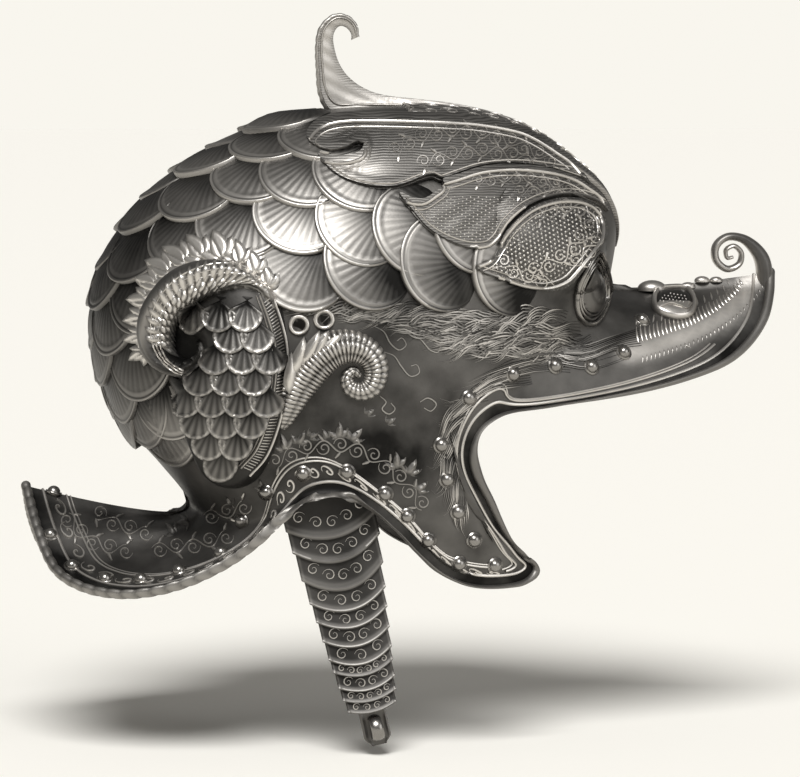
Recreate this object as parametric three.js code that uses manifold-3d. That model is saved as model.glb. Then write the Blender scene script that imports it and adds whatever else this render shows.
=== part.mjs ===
// A parade burgonet: an open iron helmet, raised and embossed as the head of a scaly sea monster.
// Millimetres, +Z up, +X to the front, -Y to the wearer's right. The origin is where the top of the
// wearer's head sits, under a few millimetres of padding inside the top of the bowl.

import * as THREE from "three";
import { mergeVertices } from "three/addons/utils/BufferGeometryUtils.js";
import Module from "manifold-3d";

const wasm = await Module();
wasm.setup();

// Driving dimensions
const SHEET = 1.4; // thickness of the raised iron sheet
const ROLL_RADIUS = 2.6; // radius of the rolled edge
const GAP = 0.3; // clearance between touching pieces
const SUNK = 0.7; // how far fused relief starts inside the sheet
const CROWN = { x: 22, z: 6 }; // highest point of the bowl's outer face
const FRONT_SQUARE = 2.2; // superellipse exponent of each level's front half
const EAR = new THREE.Vector3(-30, 0, -143); // scales turn about this point, seen from the side
const SIDES = { right: 1, left: -1 }; // a part drawn on the right side is mirrored for the left
const UP = new THREE.Vector3(0, 0, 1);
const ASIDE = new THREE.Vector3(0, -1, 0);
const FORWARD = new THREE.Vector3(1, 0, 0);

// Horizontal levels of the bowl: rearmost and foremost point, half width, exponent of the back half
const LEVELS = [
  { z: 4.5, back: -12, front: 50, half: 24, square: 2.1 },
  { z: 0, back: -39.5, front: 73, half: 38, square: 2.1 },
  { z: -8, back: -55, front: 91.5, half: 54, square: 2.1 },
  { z: -20, back: -77.5, front: 108, half: 69, square: 2.1 },
  { z: -36, back: -99, front: 124.5, half: 81, square: 2.1 },
  { z: -56, back: -116, front: 130.2, half: 90.5, square: 2.1 },
  { z: -80, back: -127.3, front: 127, half: 96, square: 2.2 },
  { z: -105, back: -129.5, front: 124, half: 98, square: 2.2 },
  { z: -130, back: -124.5, front: 117, half: 98, square: 2.3 },
  { z: -152, back: -114.3, front: 112, half: 96, square: 2.4 },
  { z: -172, back: -97, front: 110, half: 93.5, square: 2.6 },
  { z: -190, back: -83.5, front: 110, half: 91, square: 2.8 },
  { z: -210, back: -80, front: 110, half: 87, square: 2.8 },
  { z: -240, back: -80, front: 108, half: 81, square: 2.8 },
];

// The rim, from the tip of the peak round the right side to the tail of the neck guard. Each row is a rib
// of the sheet: it starts at the crown on this bearing (degrees from the front), runs down the bowl to the
// wall end, goes on straight for the turn, and flares out to the edge.
const RIM = [
  { bearing: 0, wallX: 127, wallZ: -82, turn: 8, edgeX: 214, edgeY: 0, edgeZ: -77.5 },
  { bearing: 8, wallX: 126.1, wallZ: -84, turn: 8, edgeX: 211.5, edgeY: 9, edgeZ: -88.5 },
  { bearing: 17, wallX: 122.4, wallZ: -87, turn: 8, edgeX: 205.5, edgeY: 21, edgeZ: -101 },
  { bearing: 26, wallX: 115.8, wallZ: -93, turn: 8, edgeX: 194.5, edgeY: 32, edgeZ: -113 },
  { bearing: 34, wallX: 106.4, wallZ: -100, turn: 8, edgeX: 180.5, edgeY: 42, edgeZ: -121.5 },
  { bearing: 41, wallX: 95.4, wallZ: -108, turn: 8, edgeX: 161, edgeY: 51, edgeZ: -127.8 },
  { bearing: 48, wallX: 82.6, wallZ: -116, turn: 7, edgeX: 138.5, edgeY: 60, edgeZ: -132.7 },
  { bearing: 53, wallX: 72.2, wallZ: -124, turn: 6, edgeX: 113.5, edgeY: 69, edgeZ: -136.3 },
  { bearing: 56.5, wallX: 64.8, wallZ: -130, turn: 5, edgeX: 90, edgeY: 76, edgeZ: -138.9 },
  { bearing: 59.5, wallX: 60.5, wallZ: -133.5, turn: 4, edgeX: 70, edgeY: 81, edgeZ: -141.5 },
  { bearing: 62.5, wallX: 53, wallZ: -136.8, turn: 4, edgeX: 57.3, edgeY: 84.5, edgeZ: -146.5 },
  { bearing: 65.5, wallX: 45, wallZ: -143, turn: 4, edgeX: 49.6, edgeY: 87, edgeZ: -153.5 },
  { bearing: 68.5, wallX: 39, wallZ: -152.5, turn: 4, edgeX: 47.2, edgeY: 88, edgeZ: -163.5 },
  { bearing: 71, wallX: 37, wallZ: -163.5, turn: 4, edgeX: 50, edgeY: 86, edgeZ: -173 },
  { bearing: 73.5, wallX: 40, wallZ: -176, turn: 4, edgeX: 56.5, edgeY: 81.5, edgeZ: -184.2 },
  { bearing: 76, wallX: 46.8, wallZ: -187.8, turn: 4, edgeX: 62.5, edgeY: 77, edgeZ: -196.5 },
  { bearing: 78.5, wallX: 56, wallZ: -200, turn: 4, edgeX: 69, edgeY: 72, edgeZ: -208 },
  { bearing: 81, wallX: 65.5, wallZ: -210.5, turn: 3, edgeX: 76, edgeY: 67, edgeZ: -214.8 },
  { bearing: 84, wallX: 71.5, wallZ: -216.5, turn: 3, edgeX: 82, edgeY: 63, edgeZ: -220 },
  { bearing: 87, wallX: 67, wallZ: -219.5, turn: 3, edgeX: 75.5, edgeY: 67, edgeZ: -227 },
  { bearing: 90, wallX: 56, wallZ: -220.5, turn: 3, edgeX: 60, edgeY: 74, edgeZ: -229.5 },
  { bearing: 93, wallX: 43.5, wallZ: -218.5, turn: 3, edgeX: 44, edgeY: 80.5, edgeZ: -228 },
  { bearing: 96, wallX: 32, wallZ: -212.5, turn: 3, edgeX: 29, edgeY: 86, edgeZ: -221.5 },
  { bearing: 98.5, wallX: 21.5, wallZ: -203, turn: 3, edgeX: 17, edgeY: 89, edgeZ: -211.5 },
  { bearing: 101.5, wallX: 10.5, wallZ: -192, turn: 4, edgeX: 5.5, edgeY: 91.5, edgeZ: -199.5 },
  { bearing: 105, wallX: -2.5, wallZ: -181.5, turn: 4, edgeX: -6, edgeY: 93.5, edgeZ: -189.8 },
  { bearing: 108.5, wallX: -16, wallZ: -174.5, turn: 4, edgeX: -17.5, edgeY: 95, edgeZ: -182.8 },
  { bearing: 112.5, wallX: -28, wallZ: -173.5, turn: 4, edgeX: -28, edgeY: 95.5, edgeZ: -181.9 },
  { bearing: 116.5, wallX: -38, wallZ: -176.5, turn: 4, edgeX: -38.5, edgeY: 95.5, edgeZ: -184.5 },
  { bearing: 120.5, wallX: -47, wallZ: -182.5, turn: 5, edgeX: -50, edgeY: 95.5, edgeZ: -192.5 },
  { bearing: 125, wallX: -54.5, wallZ: -189, turn: 7, edgeX: -62, edgeY: 96, edgeZ: -203 },
  { bearing: 130, wallX: -60.5, wallZ: -192, turn: 9, edgeX: -76, edgeY: 96, edgeZ: -212.3 },
  { bearing: 135, wallX: -66, wallZ: -192, turn: 11, edgeX: -93, edgeY: 94, edgeZ: -220.5 },
  { bearing: 141, wallX: -71, wallZ: -191, turn: 13, edgeX: -110, edgeY: 89.5, edgeZ: -225.5 },
  { bearing: 147, wallX: -75.5, wallZ: -190, turn: 15, edgeX: -127, edgeY: 81, edgeZ: -227.3 },
  { bearing: 154, wallX: -79.5, wallZ: -189, turn: 17, edgeX: -143.5, edgeY: 67, edgeZ: -224.8 },
  { bearing: 161, wallX: -82, wallZ: -188.5, turn: 19, edgeX: -155.5, edgeY: 50, edgeZ: -217 },
  { bearing: 170, wallX: -83.3, wallZ: -188, turn: 20, edgeX: -162.5, edgeY: 26, edgeZ: -200 },
  { bearing: 180, wallX: -86, wallZ: -188, turn: 20, edgeX: -166.7, edgeY: 0, edgeZ: -180.7 },
];
const LAST_ROW = RIM.length - 1;

// Heads of the lining rivets. On the peak: the row of RIM they stand on, and how far in from the edge.
// On the bowl, from the brow down the cheek and over the arch: their place seen from the side.
const PEAK_RIVETS = [
  { row: 2.7, inset: 61 },
  { row: 4.4, inset: 50 },
  { row: 5.4, inset: 47 },
  { row: 5.9, inset: 56 },
];
const BOWL_RIVETS = [
  { x: 65.6, z: -122.2 },
  { x: 43, z: -133.2 },
  { x: 29.3, z: -155.3 },
  { x: 32.3, z: -172.6 },
  { x: 38.2, z: -188.6 },
  { x: 46.6, z: -202.4 },
  { x: 57.8, z: -215.4 },
  { x: 39.3, z: -213.6 },
  { x: 23.7, z: -201.4 },
  { x: 13.1, z: -189.4 },
  { x: 2.4, z: -178.2 },
  { x: -16, z: -167.7 },
  { x: -36.5, z: -169.1 },
];
const RIVET = { radius: 3.5, height: 3, sides: 6 };

// Cubic curve through knots, with the slope at each knot taken from its neighbours
function curveThrough(knots, values) {
  const last = knots.length - 1;
  const slope = (i) => {
    const before = Math.max(i - 1, 0);
    const after = Math.min(i + 1, last);
    return (values[after] - values[before]) / (knots[after] - knots[before]);
  };
  return (at) => {
    let i = 0;
    while (i < last - 1 && at > knots[i + 1]) i += 1;
    const step = knots[i + 1] - knots[i];
    const t = (at - knots[i]) / step;
    const t2 = t * t;
    const t3 = t2 * t;
    return (
      values[i] * (2 * t3 - 3 * t2 + 1) +
      values[i + 1] * (3 * t2 - 2 * t3) +
      slope(i) * step * (t3 - 2 * t2 + t) +
      slope(i + 1) * step * (t3 - t2)
    );
  };
}

// Depth below the crown is measured as its square root, which makes the top of the bowl round
const rootDepth = (z) => Math.sqrt(Math.max(CROWN.z - z, 1e-6));
const depths = LEVELS.map((level) => rootDepth(level.z));
const levelKnots = [-depths[0], 0, ...depths];

function levelCurve(measure, atCrown, sign) {
  const values = LEVELS.map(measure);
  return curveThrough(levelKnots, [sign * values[0], atCrown, ...values]);
}

const centreAt = levelCurve((level) => (level.back + level.front) / 2, CROWN.x, 1);
const reachAt = levelCurve((level) => (level.front - level.back) / 2, 0, -1);
const halfAt = levelCurve((level) => level.half, 0, -1);
const squareAt = levelCurve((level) => level.square, LEVELS[0].square, 1);

// Point of the smooth bowl; bearings from 0 (front) to pi (back) run down the right side
function onBowl(bearing, depth) {
  const across = Math.sin(bearing);
  const along = Math.cos(bearing);
  const power = along < 0 ? squareAt(depth) : FRONT_SQUARE;
  const stretch = (Math.abs(along) ** power + Math.abs(across) ** power) ** (-1 / power);
  return new THREE.Vector3(
    centreAt(depth) + reachAt(depth) * stretch * along,
    -halfAt(depth) * stretch * across,
    CROWN.z - depth * depth,
  );
}

// 1 on the bowl, more outside it and less inside
function fullness(point) {
  const depth = rootDepth(point.z);
  const along = (point.x - centreAt(depth)) / reachAt(depth);
  const across = point.y / halfAt(depth);
  const power = along < 0 ? squareAt(depth) : FRONT_SQUARE;
  return (Math.abs(along) ** power + Math.abs(across) ** power) ** (1 / power);
}

function bowlNormal(point) {
  const nearCrown = 0.3;
  if (CROWN.z - point.z < nearCrown) return UP.clone();
  const step = 0.05;
  const slope = (axis) => {
    const ahead = point.clone();
    const behind = point.clone();
    ahead[axis] += step;
    behind[axis] -= step;
    return fullness(ahead) - fullness(behind);
  };
  return new THREE.Vector3(slope("x"), slope("y"), slope("z")).normalize();
}

// Where a line from inside the bowl leaves it
function leaveBowl(start, direction, nearest, farthest) {
  let low = nearest;
  let high = farthest;
  for (let i = 0; i < 40; i += 1) {
    const middle = (low + high) / 2;
    const point = start.clone().addScaledVector(direction, middle);
    if (fullness(point) > 1) high = middle;
    else low = middle;
  }
  return start.clone().addScaledVector(direction, low);
}

// Foot on the bowl of a point near it, along a normal
const footOf = (point, normal) => leaveBowl(point, normal, -30, 25);

// Point of the right side seen from the side at x, z
const besideAt = (x, z) => leaveBowl(new THREE.Vector3(x, 0, z), new THREE.Vector3(0, -1, 0), 0, 120);

// Point in the direction of a turn from straight up towards the front, and a swing away from the side
function aroundEar(turnDegrees, swingDegrees) {
  const turn = THREE.MathUtils.degToRad(turnDegrees);
  const swing = THREE.MathUtils.degToRad(swingDegrees);
  const flat = Math.sin(swing);
  const direction = new THREE.Vector3(flat * Math.sin(turn), -Math.cos(swing), flat * Math.cos(turn));
  return leaveBowl(EAR, direction, 5, 230);
}

const rimColumns = Object.keys(RIM[0]);
const rimKnots = RIM.map((row, i) => i);
const rimCurves = rimColumns.map((column) =>
  curveThrough(
    rimKnots,
    RIM.map((row) => row[column]),
  ),
);

function rimAt(row) {
  return Object.fromEntries(rimColumns.map((column, i) => [column, rimCurves[i](row)]));
}

function wallBearing(x, z) {
  const depth = rootDepth(z);
  const along = THREE.MathUtils.clamp((x - centreAt(depth)) / reachAt(depth), -1, 1);
  const power = along < 0 ? squareAt(depth) : FRONT_SQUARE;
  return Math.atan2((1 - Math.abs(along) ** power) ** (1 / power), along);
}

function evenlySpaced(points, count) {
  const lengths = [0];
  for (let i = 1; i < points.length; i += 1) {
    lengths.push(lengths[i - 1] + points[i].distanceTo(points[i - 1]));
  }
  const total = lengths[lengths.length - 1];
  const result = [];
  let i = 1;
  for (let k = 0; k <= count; k += 1) {
    const target = (total * k) / count;
    while (i < points.length - 1 && lengths[i] < target) i += 1;
    const share = (target - lengths[i - 1]) / (lengths[i] - lengths[i - 1]);
    result.push(points[i - 1].clone().lerp(points[i], share));
  }
  return result;
}

// One rib of the outer face, from the crown to where the edge starts to roll
function rib(row, bowlSteps, flareSteps) {
  const rim = rimAt(row);
  const start = THREE.MathUtils.degToRad(rim.bearing);
  const end = wallBearing(rim.wallX, rim.wallZ);
  const wallDepth = rootDepth(rim.wallZ);
  const fullBend = THREE.MathUtils.degToRad(20);
  const lead = 1 + 0.8 * Math.min(1, Math.abs(end - start) / fullBend);
  const fine = 60;
  const path = [];
  for (let i = 0; i <= fine; i += 1) {
    const t = i / fine;
    path.push(onBowl(start + (end - start) * t ** 3, wallDepth * (1 - (1 - t) ** lead)));
  }
  const wall = path[fine];
  const heading = wall.clone().sub(path[fine - 1]).normalize();
  const corner = wall.clone().addScaledVector(heading, rim.turn);
  const rimEdge = new THREE.Vector3(rim.edgeX, -rim.edgeY, rim.edgeZ);
  const outward = rimEdge.clone().sub(corner).normalize();
  const edge = rimEdge.clone().addScaledVector(outward, -1.57 * ROLL_RADIUS);
  const points = evenlySpaced(path, bowlSteps).map((point) => raised(point));
  for (let i = 1; i <= flareSteps; i += 1) {
    const t = i / flareSteps;
    const first = wall.clone().lerp(corner, t);
    points.push(first.lerp(corner.clone().lerp(edge, t), t));
  }
  return points;
}

// The brow, a dome embossed over each eye, seen from the side as a leaning ellipse
const BROW = { x: 88, z: -58, long: 33, short: 23, lean: -0.6, height: 8 };

function raised(point) {
  const dx = point.x - BROW.x;
  const dz = point.z - BROW.z;
  const long = (dx * Math.cos(BROW.lean) + dz * Math.sin(BROW.lean)) / BROW.long;
  const short = (dz * Math.cos(BROW.lean) - dx * Math.sin(BROW.lean)) / BROW.short;
  const inside = 1 - long * long - short * short;
  const besideNose = Math.abs(point.y) > 20;
  if (inside <= 0 || !besideNose) return point;
  return point.clone().addScaledVector(bowlNormal(point), BROW.height * Math.sqrt(inside));
}

const mirrored = (point) => new THREE.Vector3(point.x, -point.y, point.z);

// A closed mesh from points and triangles, turned so that its faces point out
function meshOf(points, triangles) {
  let volume = 0;
  for (const [a, b, c] of triangles) {
    volume += points[a].dot(points[b].clone().cross(points[c]));
  }
  const geometry = new THREE.BufferGeometry();
  geometry.setAttribute(
    "position",
    new THREE.Float32BufferAttribute(
      points.flatMap((p) => [p.x, p.y, p.z]),
      3,
    ),
  );
  geometry.setIndex(triangles.flatMap(([a, b, c]) => (volume > 0 ? [a, b, c] : [a, c, b])));
  return geometry;
}

// A closed skin over rings of points; each end is closed to the middle of its ring. Rings of a bent strip
// run out along one face and back along the other, and their ends are closed across the thickness.
function loft(rings, ofStrip = false) {
  const count = rings[0].length;
  const points = rings.flat();
  const triangles = [];
  for (let i = 0; i + 1 < rings.length; i += 1) {
    for (let j = 0; j < count; j += 1) {
      const a = i * count + j;
      const b = i * count + ((j + 1) % count);
      triangles.push([a, a + count, b], [b, a + count, b + count]);
    }
  }
  const closeStrip = (first, turned) => {
    for (let j = 0; j + 1 < count / 2; j += 1) {
      const [a, b, c, d] = [j, j + 1, count - 2 - j, count - 1 - j].map((at) => first + at);
      triangles.push(...(turned ? [[a, c, b], [a, d, c]] : [[a, b, c], [a, c, d]]));
    }
  };
  const close = (ring, first, turned) => {
    if (ofStrip) {
      closeStrip(first, turned);
      return;
    }
    const middle = new THREE.Vector3();
    for (const point of ring) middle.addScaledVector(point, 1 / count);
    const hub = points.push(middle) - 1;
    for (let j = 0; j < count; j += 1) {
      const next = (j + 1) % count;
      triangles.push(turned ? [hub, first + next, first + j] : [hub, first + j, first + next]);
    }
  };
  close(rings[0], 0, false);
  close(rings[rings.length - 1], (rings.length - 1) * count, true);
  return meshOf(points, triangles);
}

function solidOf(geometry) {
  const plain = geometry.clone();
  plain.deleteAttribute("normal");
  plain.deleteAttribute("uv");
  const merged = mergeVertices(plain, 1e-4);
  return new wasm.Manifold(
    new wasm.Mesh({
      numProp: 3,
      vertProperties: new Float32Array(merged.attributes.position.array),
      triVerts: new Uint32Array(merged.index.array),
    }),
  );
}

const largestPiece = (solid) =>
  solid.decompose().reduce((best, piece) => (piece.volume() > best.volume() ? piece : best));

// What is left of a piece once others, each moved out by the clearance, are cut away from it
function clearOf(geometry, others, ...directions) {
  let solid = solidOf(geometry);
  for (const other of others) {
    solid = solid.subtract(other);
    for (const direction of directions) {
      const [x, y, z] = direction.clone().multiplyScalar(GAP).toArray();
      solid = solid.subtract(other.translate([x, y, z]));
    }
  }
  return geometryOf(largestPiece(solid));
}

function geometryOf(solid) {
  const mesh = solid.getMesh();
  const geometry = new THREE.BufferGeometry();
  geometry.setAttribute("position", new THREE.BufferAttribute(mesh.vertProperties, 3));
  geometry.setIndex(new THREE.BufferAttribute(mesh.triVerts, 1));
  return geometry;
}

function mirrorGeometry(geometry) {
  const copy = geometry.clone();
  copy.scale(1, -1, 1);
  const index = copy.index.array;
  for (let i = 0; i < index.length; i += 3) {
    [index[i + 1], index[i + 2]] = [index[i + 2], index[i + 1]];
  }
  return copy;
}

// A low piece that follows the bowl: a dome or plate over an ellipse, with height(a, b) given over the
// unit disc. A lift below zero starts it inside the sheet, so that it can be fused. A wall makes it a
// hollow shell that is open underneath, and a root share draws in the end away from its heading.
function boss({ centre, toward, radii, rings, segments, lift, height, wall = null, rootShare = 1 }) {
  const normal = bowlNormal(centre);
  const ahead = toward.clone().addScaledVector(normal, -toward.dot(normal)).normalize();
  const aside = normal.clone().cross(ahead);
  const low = [];
  const high = [];
  const place = (a, b) => {
    const reach = a < 0 ? a * rootShare : a;
    const over = centre.clone().addScaledVector(ahead, reach * radii[0]).addScaledVector(aside, b * radii[1]);
    const foot = footOf(over, normal);
    const out = bowlNormal(foot);
    const top = Math.max(height(a, b), lift + GAP);
    const bottom = wall === null ? lift : Math.max(lift, top - wall);
    low.push(foot.clone().addScaledVector(out, bottom));
    high.push(foot.clone().addScaledVector(out, top));
  };
  place(0, 0);
  for (let i = 1; i <= rings; i += 1) {
    for (let j = 0; j < segments; j += 1) {
      const angle = (2 * Math.PI * j) / segments;
      place((i / rings) * Math.cos(angle), (i / rings) * Math.sin(angle));
    }
  }
  const top = low.length;
  const triangles = [];
  for (let j = 0; j < segments; j += 1) {
    const next = (j + 1) % segments;
    triangles.push([top, top + 1 + j, top + 1 + next], [0, 1 + next, 1 + j]);
    for (let i = 1; i < rings; i += 1) {
      const a = 1 + (i - 1) * segments + j;
      const b = 1 + (i - 1) * segments + next;
      triangles.push([top + a, top + a + segments, top + b], [top + b, top + a + segments, top + b + segments]);
      triangles.push([a, b, a + segments], [b, b + segments, a + segments]);
    }
    const a = 1 + (rings - 1) * segments + j;
    const b = 1 + (rings - 1) * segments + next;
    triangles.push([a, b, top + a], [b, top + b, top + a]);
  }
  return meshOf([...low, ...high], triangles);
}

// The sheet: bowl, peak, cheeks and neck guard in one, with its edge rolled over a wire
const SHEET_ROWS = [
  0, 1, 2.2, 3.5, 5, 6.5, 8.5, 10.5, 12, 13.5, 15.5, 17, 18, 19.5, 21.5, 23.5, 25, 27, 29, 30.5, 32, 33.7, 35.3,
  36.6, LAST_ROW,
];
const BOWL_STEPS = 9;
const FLARE_STEPS = 3;
const ROLL_ANGLES = [115, 40, -40, -115];
const INNER_ROWS = [12, 11, 10, 9, 7, 5, 3, 1];

function sheetRibs() {
  const right = SHEET_ROWS.map((row) => rib(row, BOWL_STEPS, FLARE_STEPS));
  const left = right.slice(1, -1).map((points) => points.map(mirrored));
  return [...right, ...left.reverse()];
}

function sheetNormals(ribs) {
  const columns = ribs.length;
  return ribs.map((points, c) =>
    points.map((point, k) => {
      if (k === 0) return UP.clone();
      const after = ribs[(c + 1) % columns][k];
      const before = ribs[(c + columns - 1) % columns][k];
      const across = after.clone().sub(before);
      const down = points[Math.min(k + 1, points.length - 1)].clone().sub(points[k - 1]);
      return across.cross(down).normalize();
    }),
  );
}

function buildSheet() {
  const ribs = sheetRibs();
  const normals = sheetNormals(ribs);
  const columns = ribs.length;
  const last = BOWL_STEPS + FLARE_STEPS;
  const crown = ribs[0][0];
  const outward = normals[0][6].dot(ribs[0][6].clone().sub(EAR)) > 0 ? 1 : -1;
  const points = [crown.clone(), crown.clone().addScaledVector(UP, -SHEET)];
  const perColumn = last + ROLL_ANGLES.length + INNER_ROWS.length;
  for (let c = 0; c < columns; c += 1) {
    const outer = ribs[c];
    const normal = normals[c].map((n) => n.clone().multiplyScalar(outward));
    for (let k = 1; k <= last; k += 1) points.push(outer[k]);
    const along = outer[last].clone().sub(outer[last - 1]).normalize();
    const out = normal[last].clone().addScaledVector(along, -along.dot(normal[last])).normalize();
    const core = outer[last].clone().addScaledVector(out, -SHEET / 2).addScaledVector(along, 0.57 * ROLL_RADIUS);
    for (const degrees of ROLL_ANGLES) {
      const angle = THREE.MathUtils.degToRad(degrees);
      points.push(
        core
          .clone()
          .addScaledVector(along, ROLL_RADIUS * Math.cos(angle))
          .addScaledVector(out, ROLL_RADIUS * Math.sin(angle)),
      );
    }
    for (const k of INNER_ROWS) {
      const edgeInset = k === last ? out : normal[k];
      points.push(outer[k].clone().addScaledVector(edgeInset, -SHEET));
    }
  }
  const triangles = [];
  for (let c = 0; c < columns; c += 1) {
    const here = 2 + c * perColumn;
    const there = 2 + ((c + 1) % columns) * perColumn;
    triangles.push([0, here, there], [1, there + perColumn - 1, here + perColumn - 1]);
    for (let k = 0; k + 1 < perColumn; k += 1) {
      const [a, b, d, e] = [here + k, here + k + 1, there + k, there + k + 1];
      if (c < columns / 2) triangles.push([a, b, d], [d, b, e]);
      else triangles.push([a, b, e], [a, e, d]);
    }
  }
  return meshOf(points, triangles);
}

// Point and outward normal of the sheet at a row, some way in from its edge
function onSheet(row, inset) {
  const fineRib = (at) => rib(at, 40, 12).reverse();
  const points = fineRib(row);
  let left = inset - 1.57 * ROLL_RADIUS;
  let i = 0;
  while (left > points[i].distanceTo(points[i + 1])) {
    left -= points[i].distanceTo(points[i + 1]);
    i += 1;
  }
  const inward = points[i + 1].clone().sub(points[i]).normalize();
  const point = points[i].clone().addScaledVector(inward, left);
  const step = 0.1;
  const ahead = row + step > LAST_ROW ? mirrored(fineRib(row - step)[i]) : fineRib(row + step)[i];
  const behind = fineRib(Math.max(row - step, 0))[i];
  const across = ahead.sub(behind).normalize();
  const normal = inward.clone().cross(across).normalize();
  if (normal.z < 0 && row < 1) normal.negate();
  return { point, normal, inward };
}

// A round head on the sheet, sunk a little so that it can be fused
function domeAt({ point, normal }, radius, height, sides) {
  const profile = [
    { out: 1, up: -SUNK },
    { out: 0.88, up: 0.55 },
  ];
  const first = new THREE.Vector3(normal.z, normal.x, normal.y).cross(normal).normalize();
  const second = normal.clone().cross(first);
  const rings = profile.map(({ out, up }) => {
    const ring = [];
    for (let j = 0; j < sides; j += 1) {
      const angle = (2 * Math.PI * j) / sides;
      ring.push(
        point
          .clone()
          .addScaledVector(first, radius * out * Math.cos(angle))
          .addScaledVector(second, radius * out * Math.sin(angle))
          .addScaledVector(normal, up < 0 ? up : up * height),
      );
    }
    return ring;
  });
  const geometry = loft(rings);
  const top = geometry.attributes.position.count - 1;
  const peak = point.clone().addScaledVector(normal, height);
  geometry.attributes.position.setXYZ(top, peak.x, peak.y, peak.z);
  return geometry;
}

// Scales: each stands at a turn from straight up to the front and a swing away from the side, in degrees
// about the ear. The rows run from the brow to the nape, lowest first.
const SCALE_ROWS = [
  [[52, 50.5], [38, 42], [17, 37.5], [-7, 38]],
  [[39, 54], [27, 48.5], [12, 47.5], [-5, 50.5], [-21, 54], [-83, 46], [-95, 50]],
  [[10, 58], [-2, 60], [-13, 65], [-34, 60.5], [-54, 61], [-72, 58], [-88, 60]],
  [[3, 70], [-7, 74], [-26, 69.5], [-45, 71], [-63, 71.5], [-81, 70.5]],
  [[-3, 84], [-19, 81], [-36, 81], [-54, 80.5], [-72, 81], [-90, 78]],
];
const CENTRE_SCALES = [-11, -28, -46, -64, -82];
const SCALE = { length: 19, width: 18, root: 0.3, tip: 2.6, segments: 5, rootShare: 0.4 };

// A scale's tip points back over the bowl and droops towards the ear, less so down the nape
function scaleAt(turn, swing, droopDegrees) {
  const centre = aroundEar(turn, swing);
  const droop = THREE.MathUtils.degToRad(droopDegrees);
  const back = (3 * Math.cos(droop)) / Math.sin(THREE.MathUtils.degToRad(swing));
  const toward = aroundEar(turn - back, swing - 3 * Math.sin(droop)).sub(centre);
  return boss({
    centre,
    toward,
    radii: [SCALE.length, SCALE.width],
    rings: 1,
    segments: SCALE.segments,
    lift: -SUNK,
    rootShare: SCALE.rootShare,
    height: (a) => SCALE.root + ((SCALE.tip - SCALE.root) * (a + 1)) / 2,
  });
}

const scaleDroop = (turn) => 10 + 25 * THREE.MathUtils.smoothstep(turn, -75, 0);

function scaleSolids() {
  const places = SCALE_ROWS.flat();
  const right = places.map(([turn, swing]) => scaleAt(turn, swing, scaleDroop(turn)));
  const centre = CENTRE_SCALES.map((turn) => scaleAt(turn, 90, 0));
  return [...right, ...right.map(mirrorGeometry), ...centre];
}

// Forehead leaves: plates that lie over the scales' front, each a spine with a half width
const FOREHEAD_LEAVES = [
  [
    { x: 118, z: -26, half: 5 },
    { x: 99, z: -17, half: 12 },
    { x: 72, z: -13, half: 19 },
    { x: 42, z: -15, half: 22 },
    { x: 10, z: -16, half: 18 },
    { x: -17, z: -17, half: 5 },
  ],
  [
    { x: 128, z: -48, half: 5 },
    { x: 108, z: -32, half: 12 },
    { x: 82, z: -30, half: 17 },
    { x: 58, z: -38, half: 19 },
    { x: 36, z: -42, half: 14 },
    { x: 17, z: -38, half: 4 },
  ],
];
const LEAF_HEIGHT = 2.2;

function leafPlate(spine) {
  const places = spine.map(({ x, z }) => besideAt(x, z));
  const rings = spine.map(({ half }, i) => {
    const before = places[Math.max(i - 1, 0)];
    const after = places[Math.min(i + 1, spine.length - 1)];
    const normal = bowlNormal(places[i]);
    const aside = normal.clone().cross(after.clone().sub(before)).normalize();
    const high = [];
    const low = [];
    for (const share of [-1, -0.4, 0.4, 1]) {
      const foot = footOf(places[i].clone().addScaledVector(aside, share * half), normal);
      const out = bowlNormal(foot);
      high.push(foot.clone().addScaledVector(out, LEAF_HEIGHT));
      low.push(foot.clone().addScaledVector(out, -SUNK));
    }
    return [...high, ...low.reverse()];
  });
  return loft(rings, true);
}

// Nostrils: a raised ring on each side of the snout
const NOSTRIL = { row: 1.8, inset: 52, radius: 8.5, height: 4.5 };
const EARHOLES = [
  { x: -39.2, z: -96.5 },
  { x: -28.2, z: -94.7 },
];
const EARHOLE_RADIUS = 2.4;

function earholeCutter({ x, z }) {
  const place = besideAt(x, z);
  const cutter = new THREE.CylinderGeometry(EARHOLE_RADIUS, EARHOLE_RADIUS, 14, 10);
  cutter.translate(x, place.y, z);
  return cutter;
}

function skullShell() {
  let solid = solidOf(buildSheet());
  const relief = scaleSolids();
  for (const spine of FOREHEAD_LEAVES) {
    const leaf = leafPlate(spine);
    relief.push(leaf, mirrorGeometry(leaf));
  }
  const nostril = domeAt(onSheet(NOSTRIL.row, NOSTRIL.inset), NOSTRIL.radius, NOSTRIL.height, 10);
  relief.push(nostril, mirrorGeometry(nostril));
  for (const piece of relief) solid = solid.add(solidOf(piece));
  for (const place of EARHOLES) {
    const cutter = earholeCutter(place);
    solid = solid.subtract(solidOf(cutter)).subtract(solidOf(mirrorGeometry(cutter)));
  }
  return largestPiece(solid);
}

function rivetPlaces() {
  const onPeak = PEAK_RIVETS.map(({ row, inset }) => onSheet(row, inset));
  const onBowl = BOWL_RIVETS.map(({ x, z }) => {
    const point = besideAt(x, z);
    return { point, normal: bowlNormal(point) };
  });
  return [...onPeak, ...onBowl];
}

function rivetHead(shell, place) {
  return clearOf(domeAt(place, RIVET.radius, RIVET.height, RIVET.sides), [shell], place.normal);
}

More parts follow.
